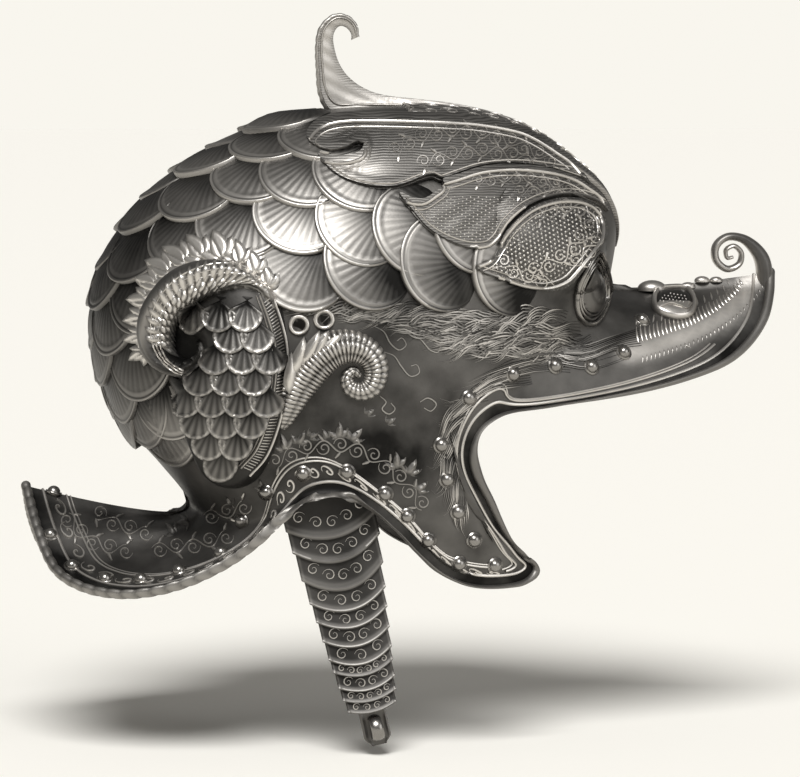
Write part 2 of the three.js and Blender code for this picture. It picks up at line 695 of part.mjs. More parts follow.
// Crest: a leaf-shaped comb along the brow that rises at the back into a hook. Foot points with no
// height stand on the bowl.
const CREST = [
  { topX: 92, topZ: -5.8, footX: 93, footZ: null, half: 1 },
  { topX: 72.5, topZ: 2, footX: 74, footZ: null, half: 2.2 },
  { topX: 52.5, topZ: 6.8, footX: 54, footZ: null, half: 3 },
  { topX: 32, topZ: 9.4, footX: 32, footZ: null, half: 3.4 },
  { topX: 14, topZ: 11.5, footX: 14, footZ: null, half: 3.6 },
  { topX: 4, topZ: 15, footX: 0, footZ: null, half: 3.8 },
  { topX: -3.5, topZ: 20.5, footX: -12, footZ: null, half: 4 },
  { topX: -8, topZ: 27, footX: -17, footZ: 12, half: 3.6 },
  { topX: -10.3, topZ: 34, footX: -18.2, footZ: 24, half: 3 },
  { topX: -11, topZ: 40, footX: -18.6, footZ: 35, half: 2.6 },
  { topX: -9.5, topZ: 44, footX: -17, footZ: 44, half: 2.3 },
  { topX: -7, topZ: 45.5, footX: -11, footZ: 50, half: 2 },
  { topX: -4, topZ: 44.3, footX: -4.5, footZ: 50, half: 1.7 },
  { topX: -2, topZ: 41.5, footX: 0, footZ: 46, half: 1.3 },
  { topX: -2, topZ: 38.5, footX: 1.3, footZ: 40, half: 0.8 },
];

function crestFin(shell) {
  const rings = CREST.map(({ topX, topZ, footX, footZ, half }) => {
    const foot = (share) => {
      if (footZ !== null) return new THREE.Vector3(footX, share * half, footZ);
      return leaveBowl(new THREE.Vector3(footX, share * half, -60), UP, 0, 80);
    };
    const top = new THREE.Vector3(topX, 0, topZ);
    const waist = (share) => {
      const level = foot(share).lerp(top, 0.55);
      level.y = share * half * 0.6;
      return level;
    };
    const lip = (share) => new THREE.Vector3(topX, share * Math.min(half * 0.3, 0.9), topZ);
    return [foot(-1), waist(-1), lip(-1), lip(1), waist(1), foot(1), foot(0)];
  });
  return clearOf(loft(rings), [shell], UP);
}

// Ear volute: a great rolled leaf over the ear, with a deep hollow where it winds in
const VOLUTE = { x: -71, z: -119, long: 56, short: 36, lean: 0.12, height: 15 };
const HOLLOW = { x: -86, z: -115, radius: 15, depth: 12 };

function earVolute(wall) {
  const centre = besideAt(VOLUTE.x, VOLUTE.z);
  const toward = new THREE.Vector3(Math.sin(VOLUTE.lean), 0, Math.cos(VOLUTE.lean));
  const hollowAside = (VOLUTE.x - HOLLOW.x) / VOLUTE.short;
  const hollowUp = (HOLLOW.z - VOLUTE.z) / VOLUTE.long;
  return boss({
    centre,
    toward,
    radii: [VOLUTE.long, VOLUTE.short],
    rings: 4,
    segments: 16,
    lift: GAP,
    wall,
    height: (a, b) => {
      const dome = VOLUTE.height * Math.sqrt(Math.max(1 - a * a - b * b, 0));
      const dx = (b - hollowAside) * VOLUTE.short;
      const dz = (a - hollowUp) * VOLUTE.long;
      const near = Math.exp(-(dx * dx + dz * dz) / (0.5 * HOLLOW.radius ** 2));
      return 3 + dome - HOLLOW.depth * near;
    },
  });
}

// Gill horn: a ribbed horn that leaves the ear volute and winds forward into a coil
const HORN = [
  { x: -34.5, z: -124, radius: 12 },
  { x: -30, z: -115, radius: 10.5 },
  { x: -22, z: -108.5, radius: 8.6 },
  { x: -12.5, z: -108, radius: 7.4 },
  { x: -6.6, z: -113.5, radius: 6.4 },
  { x: -6, z: -121, radius: 5.2 },
  { x: -11, z: -126.3, radius: 4 },
  { x: -16.5, z: -124, radius: 2.6 },
];
const HORN_STEPS = 14;

function gillHorn() {
  const knots = HORN.map((row, i) => i);
  const [xAt, zAt, radiusAt] = ["x", "z", "radius"].map((column) =>
    curveThrough(
      knots,
      HORN.map((row) => row[column]),
    ),
  );
  const rings = [];
  for (let i = 0; i <= HORN_STEPS; i += 1) {
    const at = (i * (HORN.length - 1)) / HORN_STEPS;
    const place = besideAt(xAt(at), zAt(at));
    const next = besideAt(xAt(at + 0.05), zAt(at + 0.05));
    const before = besideAt(xAt(at - 0.05), zAt(at - 0.05));
    const normal = bowlNormal(place);
    const aside = normal.clone().cross(next.sub(before)).normalize();
    const radius = radiusAt(at);
    const ring = [];
    for (const degrees of [0, 35, 70, 110, 145, 180]) {
      const angle = THREE.MathUtils.degToRad(degrees);
      const foot = footOf(place.clone().addScaledVector(aside, radius * Math.cos(angle)), normal);
      ring.push(foot.addScaledVector(normal, GAP + radius * 0.95 * Math.sin(angle)));
    }
    ring.push(footOf(place, normal).addScaledVector(normal, GAP));
    rings.push(ring);
  }
  return loft(rings);
}

// Eye: a tall almond set under the brow
const EYE = { x: 113, z: -85, tall: 16, wide: 7, height: 4.2 };

function eyeBall() {
  return boss({
    centre: besideAt(EYE.x, EYE.z),
    toward: UP,
    radii: [EYE.tall, EYE.wide],
    rings: 2,
    segments: 8,
    lift: GAP,
    height: (a, b) => 1 + EYE.height * Math.sqrt(Math.max(1 - a * a - b * b, 0)),
  });
}

// Tip scroll: a thin band that rises from the tip of the peak and curls back over the snout
const SCROLL = [
  { x: 209.5, z: -79.5, wide: 3.2, thick: 1.6 },
  { x: 210.5, z: -71, wide: 3, thick: 1.5 },
  { x: 207, z: -62, wide: 2.8, thick: 1.4 },
  { x: 200, z: -56.6, wide: 2.6, thick: 1.4 },
  { x: 192.5, z: -56.8, wide: 2.6, thick: 1.4 },
  { x: 187, z: -61.5, wide: 2.8, thick: 1.5 },
  { x: 184.8, z: -68, wide: 3, thick: 1.6 },
  { x: 186, z: -75, wide: 3.2, thick: 1.8 },
  { x: 189.5, z: -80.5, wide: 3.4, thick: 2 },
];

function tipScroll(shell) {
  const rings = SCROLL.map(({ x, z, wide, thick }, i) => {
    const before = SCROLL[Math.max(i - 1, 0)];
    const after = SCROLL[Math.min(i + 1, SCROLL.length - 1)];
    const along = new THREE.Vector3(after.x - before.x, 0, after.z - before.z).normalize();
    const out = new THREE.Vector3(-along.z, 0, along.x);
    return [0, 60, 120, 180, 240, 300].map((degrees) => {
      const angle = THREE.MathUtils.degToRad(degrees);
      return new THREE.Vector3(x, wide * Math.cos(angle), z).addScaledVector(out, thick * Math.sin(angle));
    });
  });
  return clearOf(loft(rings), [shell], UP, FORWARD);
}

// Chin strap, right side: steel lames on a leather strip that hangs inside the arch over the ear
const STRAP = {
  topX: -27.5,
  topZ: -168,
  lean: 12.3, // degrees forward of straight down
  face: -78, // y of the leather's outer face where it hangs free
  seat: 3, // how far further out it lies at the top, where it is held to the wall
  free: 12, // how far down it hangs free
  leather: 1.8,
  lame: 1.1,
  rise: 2.15, // how far each lame's lower edge stands out
  tongueHalf: 9,
  tongueLength: 15,
};
// Lower edge of each lame: its distance down the strap, its half width and its rounding
const LAMES = [
  { down: 33.5, half: 22.5, round: 8 },
  { down: 45.3, half: 21.6, round: 9 },
  { down: 59.2, half: 20.2, round: 9 },
  { down: 69.6, half: 18.8, round: 7.5 },
  { down: 78, half: 17.6, round: 6.5 },
  { down: 87.4, half: 16.6, round: 6 },
  { down: 96.4, half: 15.6, round: 5.5 },
  { down: 101.8, half: 14.8, round: 4.5 },
  { down: 109.3, half: 14, round: 4 },
  { down: 114.7, half: 13.2, round: 3 },
  { down: 120.1, half: 12, round: 2.5 },
];
const STRAP_POST = { down: 6, radius: 4, sides: 12 };
const STRAP_BULGE = 0.13; // how far the strap's middle stands out, for each mm of half width

const lean = THREE.MathUtils.degToRad(STRAP.lean);
const strapDown = new THREE.Vector3(Math.sin(lean), 0, -Math.cos(lean));
const strapAcross = new THREE.Vector3(Math.cos(lean), 0, Math.sin(lean));
const strapHalfAt = curveThrough(
  LAMES.map((row) => row.down),
  LAMES.map((row) => row.half),
);

function onStrap(down, across, out) {
  const half = strapHalfAt(Math.max(down, LAMES[0].down));
  const bulge = STRAP_BULGE * half * Math.max(1 - (across / half) ** 2, 0);
  const held = THREE.MathUtils.smoothstep(-down, -STRAP.free, -STRAP_POST.down) * STRAP.seat;
  return new THREE.Vector3(STRAP.topX, STRAP.face - held - bulge - out, STRAP.topZ)
    .addScaledVector(strapDown, down)
    .addScaledVector(strapAcross, across);
}

function strapLame(i) {
  const { down, half, round } = LAMES[i];
  const above = i === 0 ? down - 10 : LAMES[i - 1].down;
  const length = (down - above) / 0.75;
  const shares = [-1, -0.5, 0, 0.5, 1];
  const row = (v, out) =>
    shares.map((share) => {
      const at = down - length * (1 - v) - round * share * share;
      return onStrap(at, share * half, GAP + STRAP.rise * v + out);
    });
  const rings = [0, 1].map((v) => [...row(v, STRAP.lame), ...row(v, 0).reverse()]);
  return loft(rings, true);
}

function strapLeather() {
  const end = LAMES[LAMES.length - 1].down - 1;
  const stations = [0, 6, 12, STRAP.tongueLength, 30, 50, 70, 90, 108, end];
  const inset = 3.5;
  const rings = stations.map((down) => {
    const full = strapHalfAt(Math.max(down, LAMES[0].down)) - inset;
    const half = down <= STRAP.tongueLength ? STRAP.tongueHalf : full;
    const at = [-1, -0.5, 0, 0.5, 1].map((share) => share * half);
    const outer = at.map((across) => onStrap(down, across, 0));
    const inner = at.map((across) => onStrap(down, across, -STRAP.leather)).reverse();
    return [...outer, ...inner];
  });
  return loft(rings, true);
}

// The post that holds the strip to the wall, and the plate with a hook at the strip's end
function strapPost(shell) {
  const { down, radius, sides } = STRAP_POST;
  const seat = onStrap(down, 0, GAP);
  const length = seat.y - besideAt(seat.x, seat.z).y;
  const post = new THREE.CylinderGeometry(radius, radius, length, sides);
  post.translate(seat.x, seat.y - length / 2, seat.z);
  return clearOf(post, [shell], new THREE.Vector3(0, 1, 0));
}

const HOOK = { plateLength: 18, plateHalf: 6.8, plateThick: 2.4, wire: 1.5, reach: 7, behind: 1.1 };

function strapHook() {
  const top = LAMES[LAMES.length - 1].down - 0.4;
  const plate = loft(
    [
      { down: top - 3.2, half: HOOK.plateHalf * 0.9 },
      { down: top + HOOK.plateLength * 0.25, half: HOOK.plateHalf },
      { down: top + HOOK.plateLength * 0.8, half: HOOK.plateHalf },
      { down: top + HOOK.plateLength, half: HOOK.plateHalf * 0.55 },
    ].map(({ down, half }) => {
      const inner = -HOOK.behind;
      const corner = (across, out) => flatStrap(down, across, out);
      return [
        corner(-half, inner),
        corner(half, inner),
        corner(half, inner - HOOK.plateThick),
        corner(-half, inner - HOOK.plateThick),
      ];
    }),
  );
  const rings = [];
  const steps = 10;
  for (let i = 0; i <= steps; i += 1) {
    const turn = (Math.PI * 1.45 * i) / steps;
    const down = top + HOOK.plateLength * 0.72 - HOOK.reach * 0.62 * (1 - Math.cos(turn));
    const out = -HOOK.behind - 1 + HOOK.reach * 0.62 * Math.sin(turn);
    const along = { down: -Math.sin(turn), out: Math.cos(turn) };
    rings.push(
      [0, 60, 120, 180, 240, 300].map((degrees) => {
        const angle = THREE.MathUtils.degToRad(degrees);
        const wide = HOOK.wire * 1.9 * Math.cos(angle);
        const thick = HOOK.wire * Math.sin(angle);
        return flatStrap(down - along.out * thick, wide, out + along.down * thick);
      }),
    );
  }
  return geometryOf(solidOf(plate).add(solidOf(loft(rings))));
}

// Like onStrap but with no bulge, for the stiff end
function flatStrap(down, across, out) {
  return new THREE.Vector3(STRAP.topX, STRAP.face - out, STRAP.topZ)
    .addScaledVector(strapDown, down)
    .addScaledVector(strapAcross, across);
}

const iron = { color: 0x4a4642, roughness: 0.42, metalness: 1 };
const darkIron = { color: 0x35322f, roughness: 0.5, metalness: 1 };
const leather = { color: 0x3a2a1e, roughness: 0.8, metalness: 0 };

const helmet = new THREE.Group();

function addPiece(name, geometry, look) {
  const mesh = new THREE.Mesh(geometry, new THREE.MeshStandardMaterial(look));
  mesh.name = name;
  helmet.add(mesh);
}

function addPair(name, geometry, look) {
  for (const [side, sign] of Object.entries(SIDES)) {
    addPiece(`${name}_${side}`, sign > 0 ? geometry : mirrorGeometry(geometry), look);
  }
}

const shell = skullShell();
addPiece("skull_shell", geometryOf(shell), iron);
addPiece("crest_fin", crestFin(shell), iron);
addPair("ear_volute", clearOf(earVolute(SHEET), [shell], ASIDE), iron);
const filledVolute = solidOf(earVolute(null));
addPair("gill_horn", clearOf(gillHorn(), [shell, filledVolute], ASIDE, FORWARD), iron);
addPair("eye", clearOf(eyeBall(), [shell], ASIDE), darkIron);
rivetPlaces().forEach((place, i) => {
  addPair(`rivet_${String(i + 1).padStart(2, "0")}`, rivetHead(shell, place), darkIron);
});
addPiece("tip_scroll", tipScroll(shell), iron);
addPiece("strap_leather", strapLeather(), leather);
addPiece("strap_post", strapPost(shell), darkIron);
LAMES.forEach((row, i) => {
  addPiece(`strap_lame_${String(i + 1).padStart(2, "0")}`, strapLame(i), darkIron);
});
addPiece("strap_hook", strapHook(), darkIron);

export default helmet;
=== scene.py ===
# The looks of an embossed parade helmet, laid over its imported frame.
# Shapes are worked out in millimetres, in the frame's own axes: +X to the front, +Z up, -Y to the
# wearer's right. Ornament of the right side is placed by the pixels where the picture's camera sees it,
# laid on the metal below, and mirrored for the left side.

import math

import bpy
import numpy as np
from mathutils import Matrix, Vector
from mathutils.bvhtree import BVHTree
from mathutils.geometry import delaunay_2d_cdt


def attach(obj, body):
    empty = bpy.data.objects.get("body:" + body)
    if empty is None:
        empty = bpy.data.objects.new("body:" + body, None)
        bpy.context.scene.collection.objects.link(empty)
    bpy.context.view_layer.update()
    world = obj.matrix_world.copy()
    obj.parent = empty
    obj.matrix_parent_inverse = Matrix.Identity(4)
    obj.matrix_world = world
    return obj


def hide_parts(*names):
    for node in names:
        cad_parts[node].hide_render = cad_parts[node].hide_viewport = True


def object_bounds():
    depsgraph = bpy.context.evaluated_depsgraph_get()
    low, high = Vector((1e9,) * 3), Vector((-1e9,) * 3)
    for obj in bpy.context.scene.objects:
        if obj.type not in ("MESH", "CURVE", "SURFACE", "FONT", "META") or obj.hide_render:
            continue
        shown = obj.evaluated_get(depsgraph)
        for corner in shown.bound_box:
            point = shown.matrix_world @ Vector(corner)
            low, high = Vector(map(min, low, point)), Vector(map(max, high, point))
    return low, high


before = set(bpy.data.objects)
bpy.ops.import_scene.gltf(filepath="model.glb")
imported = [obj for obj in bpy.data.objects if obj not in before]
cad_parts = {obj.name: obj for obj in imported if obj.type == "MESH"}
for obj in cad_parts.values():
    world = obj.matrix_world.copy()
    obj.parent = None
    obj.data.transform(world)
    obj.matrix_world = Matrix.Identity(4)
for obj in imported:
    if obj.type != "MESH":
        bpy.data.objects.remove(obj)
CAD_BOX = [list(corner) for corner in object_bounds()]

MM = 0.001
SHEET = 1.4
ROLL_RADIUS = 2.6
# From the sheet's end to the middle and to the outer side of its roll, in radii of the roll
ROLL_CORE, ROLL_OUTER = 0.57, 1.57
CROWN_X, CROWN_Z = 22.0, 6.0
FRONT_SQUARE = 2.2
EAR = np.array([-30.0, 0.0, -143.0])
RANDOM = np.random.default_rng(7)
MIRROR = np.array([1.0, -1.0, 1.0])
RIGHTWARD = np.array([0.0, -1.0, 0.0])

# The picture's camera
AZIMUTH = math.radians(-8)
ELEVATION = math.radians(4)
AIM = np.array([22.5, 0.0, -135.0])
DISTANCE = 2000.0
IMAGE_WIDTH, IMAGE_HEIGHT = 800, 777
FOCAL = 4000.0
BACK = np.array(
    [
        math.sin(AZIMUTH) * math.cos(ELEVATION),
        -math.cos(AZIMUTH) * math.cos(ELEVATION),
        math.sin(ELEVATION),
    ]
)
RIGHT = np.array([math.cos(AZIMUTH), math.sin(AZIMUTH), 0.0])
OVER = np.cross(BACK, RIGHT)
LENS_POINT = AIM + BACK * DISTANCE
MM_PER_PIXEL = DISTANCE / FOCAL
# A ray that misses takes the point nearest to a place this far before the middle plane
MISS_DEPTH = 60.0

# Levels of the bowl: height, rearmost and foremost point, half width, exponent of the back half
LEVELS = np.array(
    [
        (4.5, -12, 50, 24, 2.1),
        (0, -39.5, 73, 38, 2.1),
        (-8, -55, 91.5, 54, 2.1),
        (-20, -77.5, 108, 69, 2.1),
        (-36, -99, 124.5, 81, 2.1),
        (-56, -116, 130.2, 90.5, 2.1),
        (-80, -127.3, 127, 96, 2.2),
        (-105, -129.5, 124, 98, 2.2),
        (-130, -124.5, 117, 98, 2.3),
        (-152, -114.3, 112, 96, 2.4),
        (-172, -97, 110, 93.5, 2.6),
        (-190, -83.5, 110, 91, 2.8),
        (-210, -80, 110, 87, 2.8),
        (-240, -80, 108, 81, 2.8),
    ],
    dtype=float,
)

# Ribs of the sheet round the right side: bearing at the crown, where the wall ends (x, z), the turn
# below it, and the edge (x, y, z)
RIM = np.array(
    [
        (0, 127, -82, 8, 214, 0, -77.5),
        (8, 126.1, -84, 8, 211.5, 9, -88.5),
        (17, 122.4, -87, 8, 205.5, 21, -101),
        (26, 115.8, -93, 8, 194.5, 32, -113),
        (34, 106.4, -100, 8, 180.5, 42, -121.5),
        (41, 95.4, -108, 8, 161, 51, -127.8),
        (48, 82.6, -116, 7, 138.5, 60, -132.7),
        (53, 72.2, -124, 6, 113.5, 69, -136.3),
        (56.5, 64.8, -130, 5, 90, 76, -138.9),
        (59.5, 60.5, -133.5, 4, 70, 81, -141.5),
        (62.5, 53, -136.8, 4, 57.3, 84.5, -146.5),
        (65.5, 45, -143, 4, 49.6, 87, -153.5),
        (68.5, 39, -152.5, 4, 47.2, 88, -163.5),
        (71, 37, -163.5, 4, 50, 86, -173),
        (73.5, 40, -176, 4, 56.5, 81.5, -184.2),
        (76, 46.8, -187.8, 4, 62.5, 77, -196.5),
        (78.5, 56, -200, 4, 69, 72, -208),
        (81, 65.5, -210.5, 3, 76, 67, -214.8),
        (84, 71.5, -216.5, 3, 82, 63, -220),
        (87, 67, -219.5, 3, 75.5, 67, -227),
        (90, 56, -220.5, 3, 60, 74, -229.5),
        (93, 43.5, -218.5, 3, 44, 80.5, -228),
        (96, 32, -212.5, 3, 29, 86, -221.5),
        (98.5, 21.5, -203, 3, 17, 89, -211.5),
        (101.5, 10.5, -192, 4, 5.5, 91.5, -199.5),
        (105, -2.5, -181.5, 4, -6, 93.5, -189.8),
        (108.5, -16, -174.5, 4, -17.5, 95, -182.8),
        (112.5, -28, -173.5, 4, -28, 95.5, -181.9),
        (116.5, -38, -176.5, 4, -38.5, 95.5, -184.5),
        (120.5, -47, -182.5, 5, -50, 95.5, -192.5),
        (125, -54.5, -189, 7, -62, 96, -203),
        (130, -60.5, -192, 9, -76, 96, -212.3),
        (135, -66, -192, 11, -93, 94, -220.5),
        (141, -71, -191, 13, -110, 89.5, -225.5),
        (147, -75.5, -190, 15, -127, 81, -227.3),
        (154, -79.5, -189, 17, -143.5, 67, -224.8),
        (161, -82, -188.5, 19, -155.5, 50, -217),
        (170, -83.3, -188, 20, -162.5, 26, -200),
        (180, -86, -188, 20, -166.7, 0, -180.7),
    ],
    dtype=float,
)
LAST_ROW = len(RIM) - 1


def unit(vectors):
    return vectors / np.maximum(np.linalg.norm(vectors, axis=-1, keepdims=True), 1e-12)


def smoothstep(low, high, value):
    t = np.clip((value - low) / (high - low), 0, 1)
    return t * t * (3 - 2 * t)


def curve_through(knots, values):
    """Cubic curve through knots, with the slope at each knot taken from its neighbours."""
    knots = np.asarray(knots, float)
    values = np.asarray(values, float)
    flat = values.reshape(len(knots), -1)
    slopes = np.empty_like(flat)
    slopes[1:-1] = (flat[2:] - flat[:-2]) / (knots[2:] - knots[:-2])[:, None]
    slopes[0] = (flat[1] - flat[0]) / (knots[1] - knots[0])
    slopes[-1] = (flat[-1] - flat[-2]) / (knots[-1] - knots[-2])

    def at(place):
        place = np.asarray(place, float)
        i = np.clip(np.searchsorted(knots, place) - 1, 0, len(knots) - 2)
        step = knots[i + 1] - knots[i]
        t = ((place - knots[i]) / step)[..., None]
        step = step[..., None]
        t2, t3 = t * t, t * t * t
        result = flat[i] * (2 * t3 - 3 * t2 + 1) + flat[i + 1] * (3 * t2 - 2 * t3)
        result = result + slopes[i] * step * (t3 - 2 * t2 + t) + slopes[i + 1] * step * (t3 - t2)
        return result.reshape(place.shape + values.shape[1:])

    return at


def steps_along(line):
    """How long each step of a line is."""
    return np.linalg.norm(np.diff(line, axis=0), axis=1)


def lengths_along(line):
    """How far each point of a line is from its start."""
    return np.concatenate([[0], np.cumsum(steps_along(line))])


def read_at(places, knots, table):
    """Rows of a table at places between its knots."""
    return np.stack([np.interp(places, knots, column) for column in table.T], axis=-1)


# How far the spacing of a path's points shapes its curve, and the fewest steps that it is read with
KNOT_POWER, FINEST = 0.6, 200


def smooth_path(points, count, closed=False):
    """Evenly spaced points on a smooth curve through a few."""
    points = np.asarray(points, float)
    if closed:
        points = np.vstack([points[-2:], points, points[:3]])
    steps = steps_along(points) ** KNOT_POWER
    knots = np.concatenate([[0], np.cumsum(np.maximum(steps, 1e-6))])
    curve = curve_through(knots, points)
    low, high = (knots[2], knots[-3]) if closed else (knots[0], knots[-1])
    fine = curve(np.linspace(low, high, max(8 * count, FINEST)))
    length = lengths_along(fine)
    wanted = np.linspace(0, length[-1], count + 1)[:-1] if closed else np.linspace(0, length[-1], count)
    return read_at(wanted, length, fine)


# The smooth bowl. Depth below the crown is measured as its square root, which makes the top round.
def root_depth(z):
    return np.sqrt(np.maximum(CROWN_Z - z, 1e-6))


LEVEL_DEPTHS = root_depth(LEVELS[:, 0])
LEVEL_KNOTS = np.concatenate([[-LEVEL_DEPTHS[0], 0], LEVEL_DEPTHS])


def level_curve(measure, at_crown, sign):
    return curve_through(LEVEL_KNOTS, np.concatenate([[sign * measure[0], at_crown], measure]))


centre_at = level_curve((LEVELS[:, 1] + LEVELS[:, 2]) / 2, CROWN_X, 1)
reach_at = level_curve((LEVELS[:, 2] - LEVELS[:, 1]) / 2, 0, -1)
half_at = level_curve(LEVELS[:, 3], 0, -1)
square_at = level_curve(LEVELS[:, 4], LEVELS[0, 4], 1)


def on_bowl(bearing, depth):
    across, along = np.sin(bearing), np.cos(bearing)
    power = np.where(along < 0, square_at(depth), FRONT_SQUARE)
    stretch = (np.abs(along) ** power + np.abs(across) ** power) ** (-1 / power)
    x = centre_at(depth) + reach_at(depth) * stretch * along
    y = -half_at(depth) * stretch * across
    return np.stack([x, y, CROWN_Z - depth * depth], axis=-1)


def fullness(points):
    """1 on the bowl, more outside it and less inside."""
    depth = root_depth(points[..., 2])
    along = (points[..., 0] - centre_at(depth)) / reach_at(depth)
    across = points[..., 1] / half_at(depth)
    power = np.where(along < 0, square_at(depth), FRONT_SQUARE)
    return (np.abs(along) ** power + np.abs(across) ** power) ** (1 / power)


def bowl_normal(points):
    step = 0.05
    slopes = [
        fullness(points + step * np.eye(3)[axis]) - fullness(points - step * np.eye(3)[axis])
        for axis in range(3)
    ]
    normal = unit(np.stack(slopes, axis=-1))
    at_crown = (CROWN_Z - points[..., 2] < 0.3)[..., None]
    return np.where(at_crown, np.array([0, 0, 1.0]), normal)


def leave_bowl(start, direction, nearest, farthest):
    """Where lines from inside the bowl leave it."""
    start, direction = np.broadcast_arrays(start, direction)
    low = np.full(start.shape[:-1] + (1,), float(nearest))
    high = np.full_like(low, float(farthest))
    for _ in range(36):
        middle = (low + high) / 2
        outside = (fullness(start + direction * middle) > 1)[..., None]
        high = np.where(outside, middle, high)
        low = np.where(outside, low, middle)
    return start + direction * low


def around_ear(turn, swing):
    """Bowl point at a turn from straight up to the front, and a swing away from the side, in degrees."""
    turn, swing = np.radians(turn), np.radians(swing)
    flat = np.sin(swing)
    direction = np.stack([flat * np.sin(turn), -np.cos(swing), flat * np.cos(turn)], axis=-1)
    return leave_bowl(EAR, direction, 5, 230)


# The sheet, rib by rib from the crown to the edge
rim_at = curve_through(np.arange(len(RIM)), RIM)


def wall_bearing(x, z):
    depth = root_depth(z)
    along = np.clip((x - centre_at(depth)) / reach_at(depth), -1, 1)
    power = square_at(depth) if along < 0 else FRONT_SQUARE
    return math.atan2((1 - abs(along) ** power) ** (1 / power), along)


# The brow: a dome over each eye, seen from the side as a leaning ellipse
BROW = {"x": 88, "z": -58, "long": 33, "short": 23, "lean": -0.6, "height": 8}


def raised(points):
    dx, dz = points[..., 0] - BROW["x"], points[..., 2] - BROW["z"]
    along = (dx * math.cos(BROW["lean"]) + dz * math.sin(BROW["lean"])) / BROW["long"]
    across = (dz * math.cos(BROW["lean"]) - dx * math.sin(BROW["lean"])) / BROW["short"]
    inside = np.clip(1 - along**2 - across**2, 0, None)
    lift = BROW["height"] * inside**0.75 * smoothstep(14, 34, np.abs(points[..., 1]))
    return points + bowl_normal(points) * lift[..., None]


RIB_POINTS = 121


def rib(row, bowl_steps, flare_steps):
    """One rib of the outer face, from the crown to where the edge starts to roll."""
    bearing, wall_x, wall_z, turn, edge_x, edge_y, edge_z = rim_at(np.float64(row))
    start, end = math.radians(bearing), wall_bearing(wall_x, wall_z)
    wall_depth = root_depth(wall_z)
    lead = 1 + 0.8 * min(1, abs(end - start) / math.radians(20))
    t = np.linspace(0, 1, RIB_POINTS)
    path = on_bowl(start + (end - start) * t**3, wall_depth * (1 - (1 - t) ** lead))
    wall = path[-1]
    corner = wall + unit(wall - path[-2]) * turn
    rim_edge = np.array([edge_x, -edge_y, edge_z])
    edge = rim_edge - unit(rim_edge - corner) * ROLL_OUTER * ROLL_RADIUS
    length = lengths_along(path)
    bowl = read_at(np.linspace(0, length[-1], bowl_steps + 1), length, path)
    t = np.linspace(0, 1, flare_steps + 1)[1:, None]
    flare = (1 - t) * (wall + (corner - wall) * t) + t * (corner + (edge - corner) * t)
    return np.vstack([raised(bowl), flare])


def sheet_grid(rows, bowl_steps, flare_steps):
    """Ribs all the way round: the right side's from the tip of the peak to the tail, then the left's."""
    right = np.stack([rib(row, bowl_steps, flare_steps) for row in rows])
    return np.concatenate([right, right[1:-1][::-1] * MIRROR])


def grid_normals(grid):
    across = np.roll(grid, -1, axis=0) - np.roll(grid, 1, axis=0)
    down = np.gradient(grid, axis=1)
    normals = unit(np.cross(across, down))
    normals[:, 0] = (0, 0, 1)
    return normals


def grid_faces(columns, rows, closed=False):
    """Quads of a grid, whose columns may close round."""
    faces = []
    for c in range(columns if closed else columns - 1):
        here, there = c * rows, ((c + 1) % columns) * rows
        faces += [(here + k, there + k, there + k + 1, here + k + 1) for k in range(rows - 1)]
    return faces


def tube_faces(rings, sides, closed=False, capped=True):
    """Quads between rings of points along a path, and a face over each end of an open one."""
    faces = []
    for i in range(rings if closed else rings - 1):
        here, there = i * sides, ((i + 1) % rings) * sides
        for j in range(sides):
            k = (j + 1) % sides
            faces.append((here + j, here + k, there + k, there + j))
    if capped and not closed:
        last = (rings - 1) * sides
        faces.append(tuple(range(sides))[::-1])
        faces.append(tuple(last + j for j in range(sides)))
    return faces


def shell_faces(columns, rows):
    """Faces of a plate whose columns run down its front and up its back."""
    count = 2 * rows
    faces = tube_faces(columns, count, capped=False)
    for c, flip in ((0, True), (columns - 1, False)):
        for k in range(rows - 1):
            a, b = c * count + k, c * count + count - 1 - k
            quad = (a, a + 1, b - 1, b)
            faces.append(quad[::-1] if flip else quad)
    return faces


def rings_round(centres, first, second, first_reach, second_reach):
    """A ring of points round each centre, reached along two directions."""
    rings = centres[:, None] + first[:, None] * first_reach[..., None]
    return rings + second[:, None] * second_reach[..., None]


def square_to(ways):
    """Flat directions turned a quarter turn."""
    return np.stack([-ways[..., 1], ways[..., 0]], axis=-1)


def turned(ways, degrees):
    """Flat directions turned by an angle."""
    cos, sin = math.cos(math.radians(degrees)), math.sin(math.radians(degrees))
    x, y = ways[..., 0], ways[..., 1]
    return np.stack([x * cos - y * sin, x * sin + y * cos], axis=-1)


# Shader building
class Socket:
    """A shader socket that can be used in Python expressions."""

    def __init__(self, tree, output):
        self.tree, self.output = tree, output

    def _math(self, operation, first, second):
        return self.tree.make("ShaderNodeMath", [first, second], operation=operation)

    def __add__(self, other):
        return self._math("ADD", self, other)

    def __sub__(self, other):
        return self._math("SUBTRACT", self, other)

    def __mul__(self, other):
        return self._math("MULTIPLY", self, other)

    def __rsub__(self, other):
        return self._math("SUBTRACT", other, self)

    __radd__ = __add__
    __rmul__ = __mul__


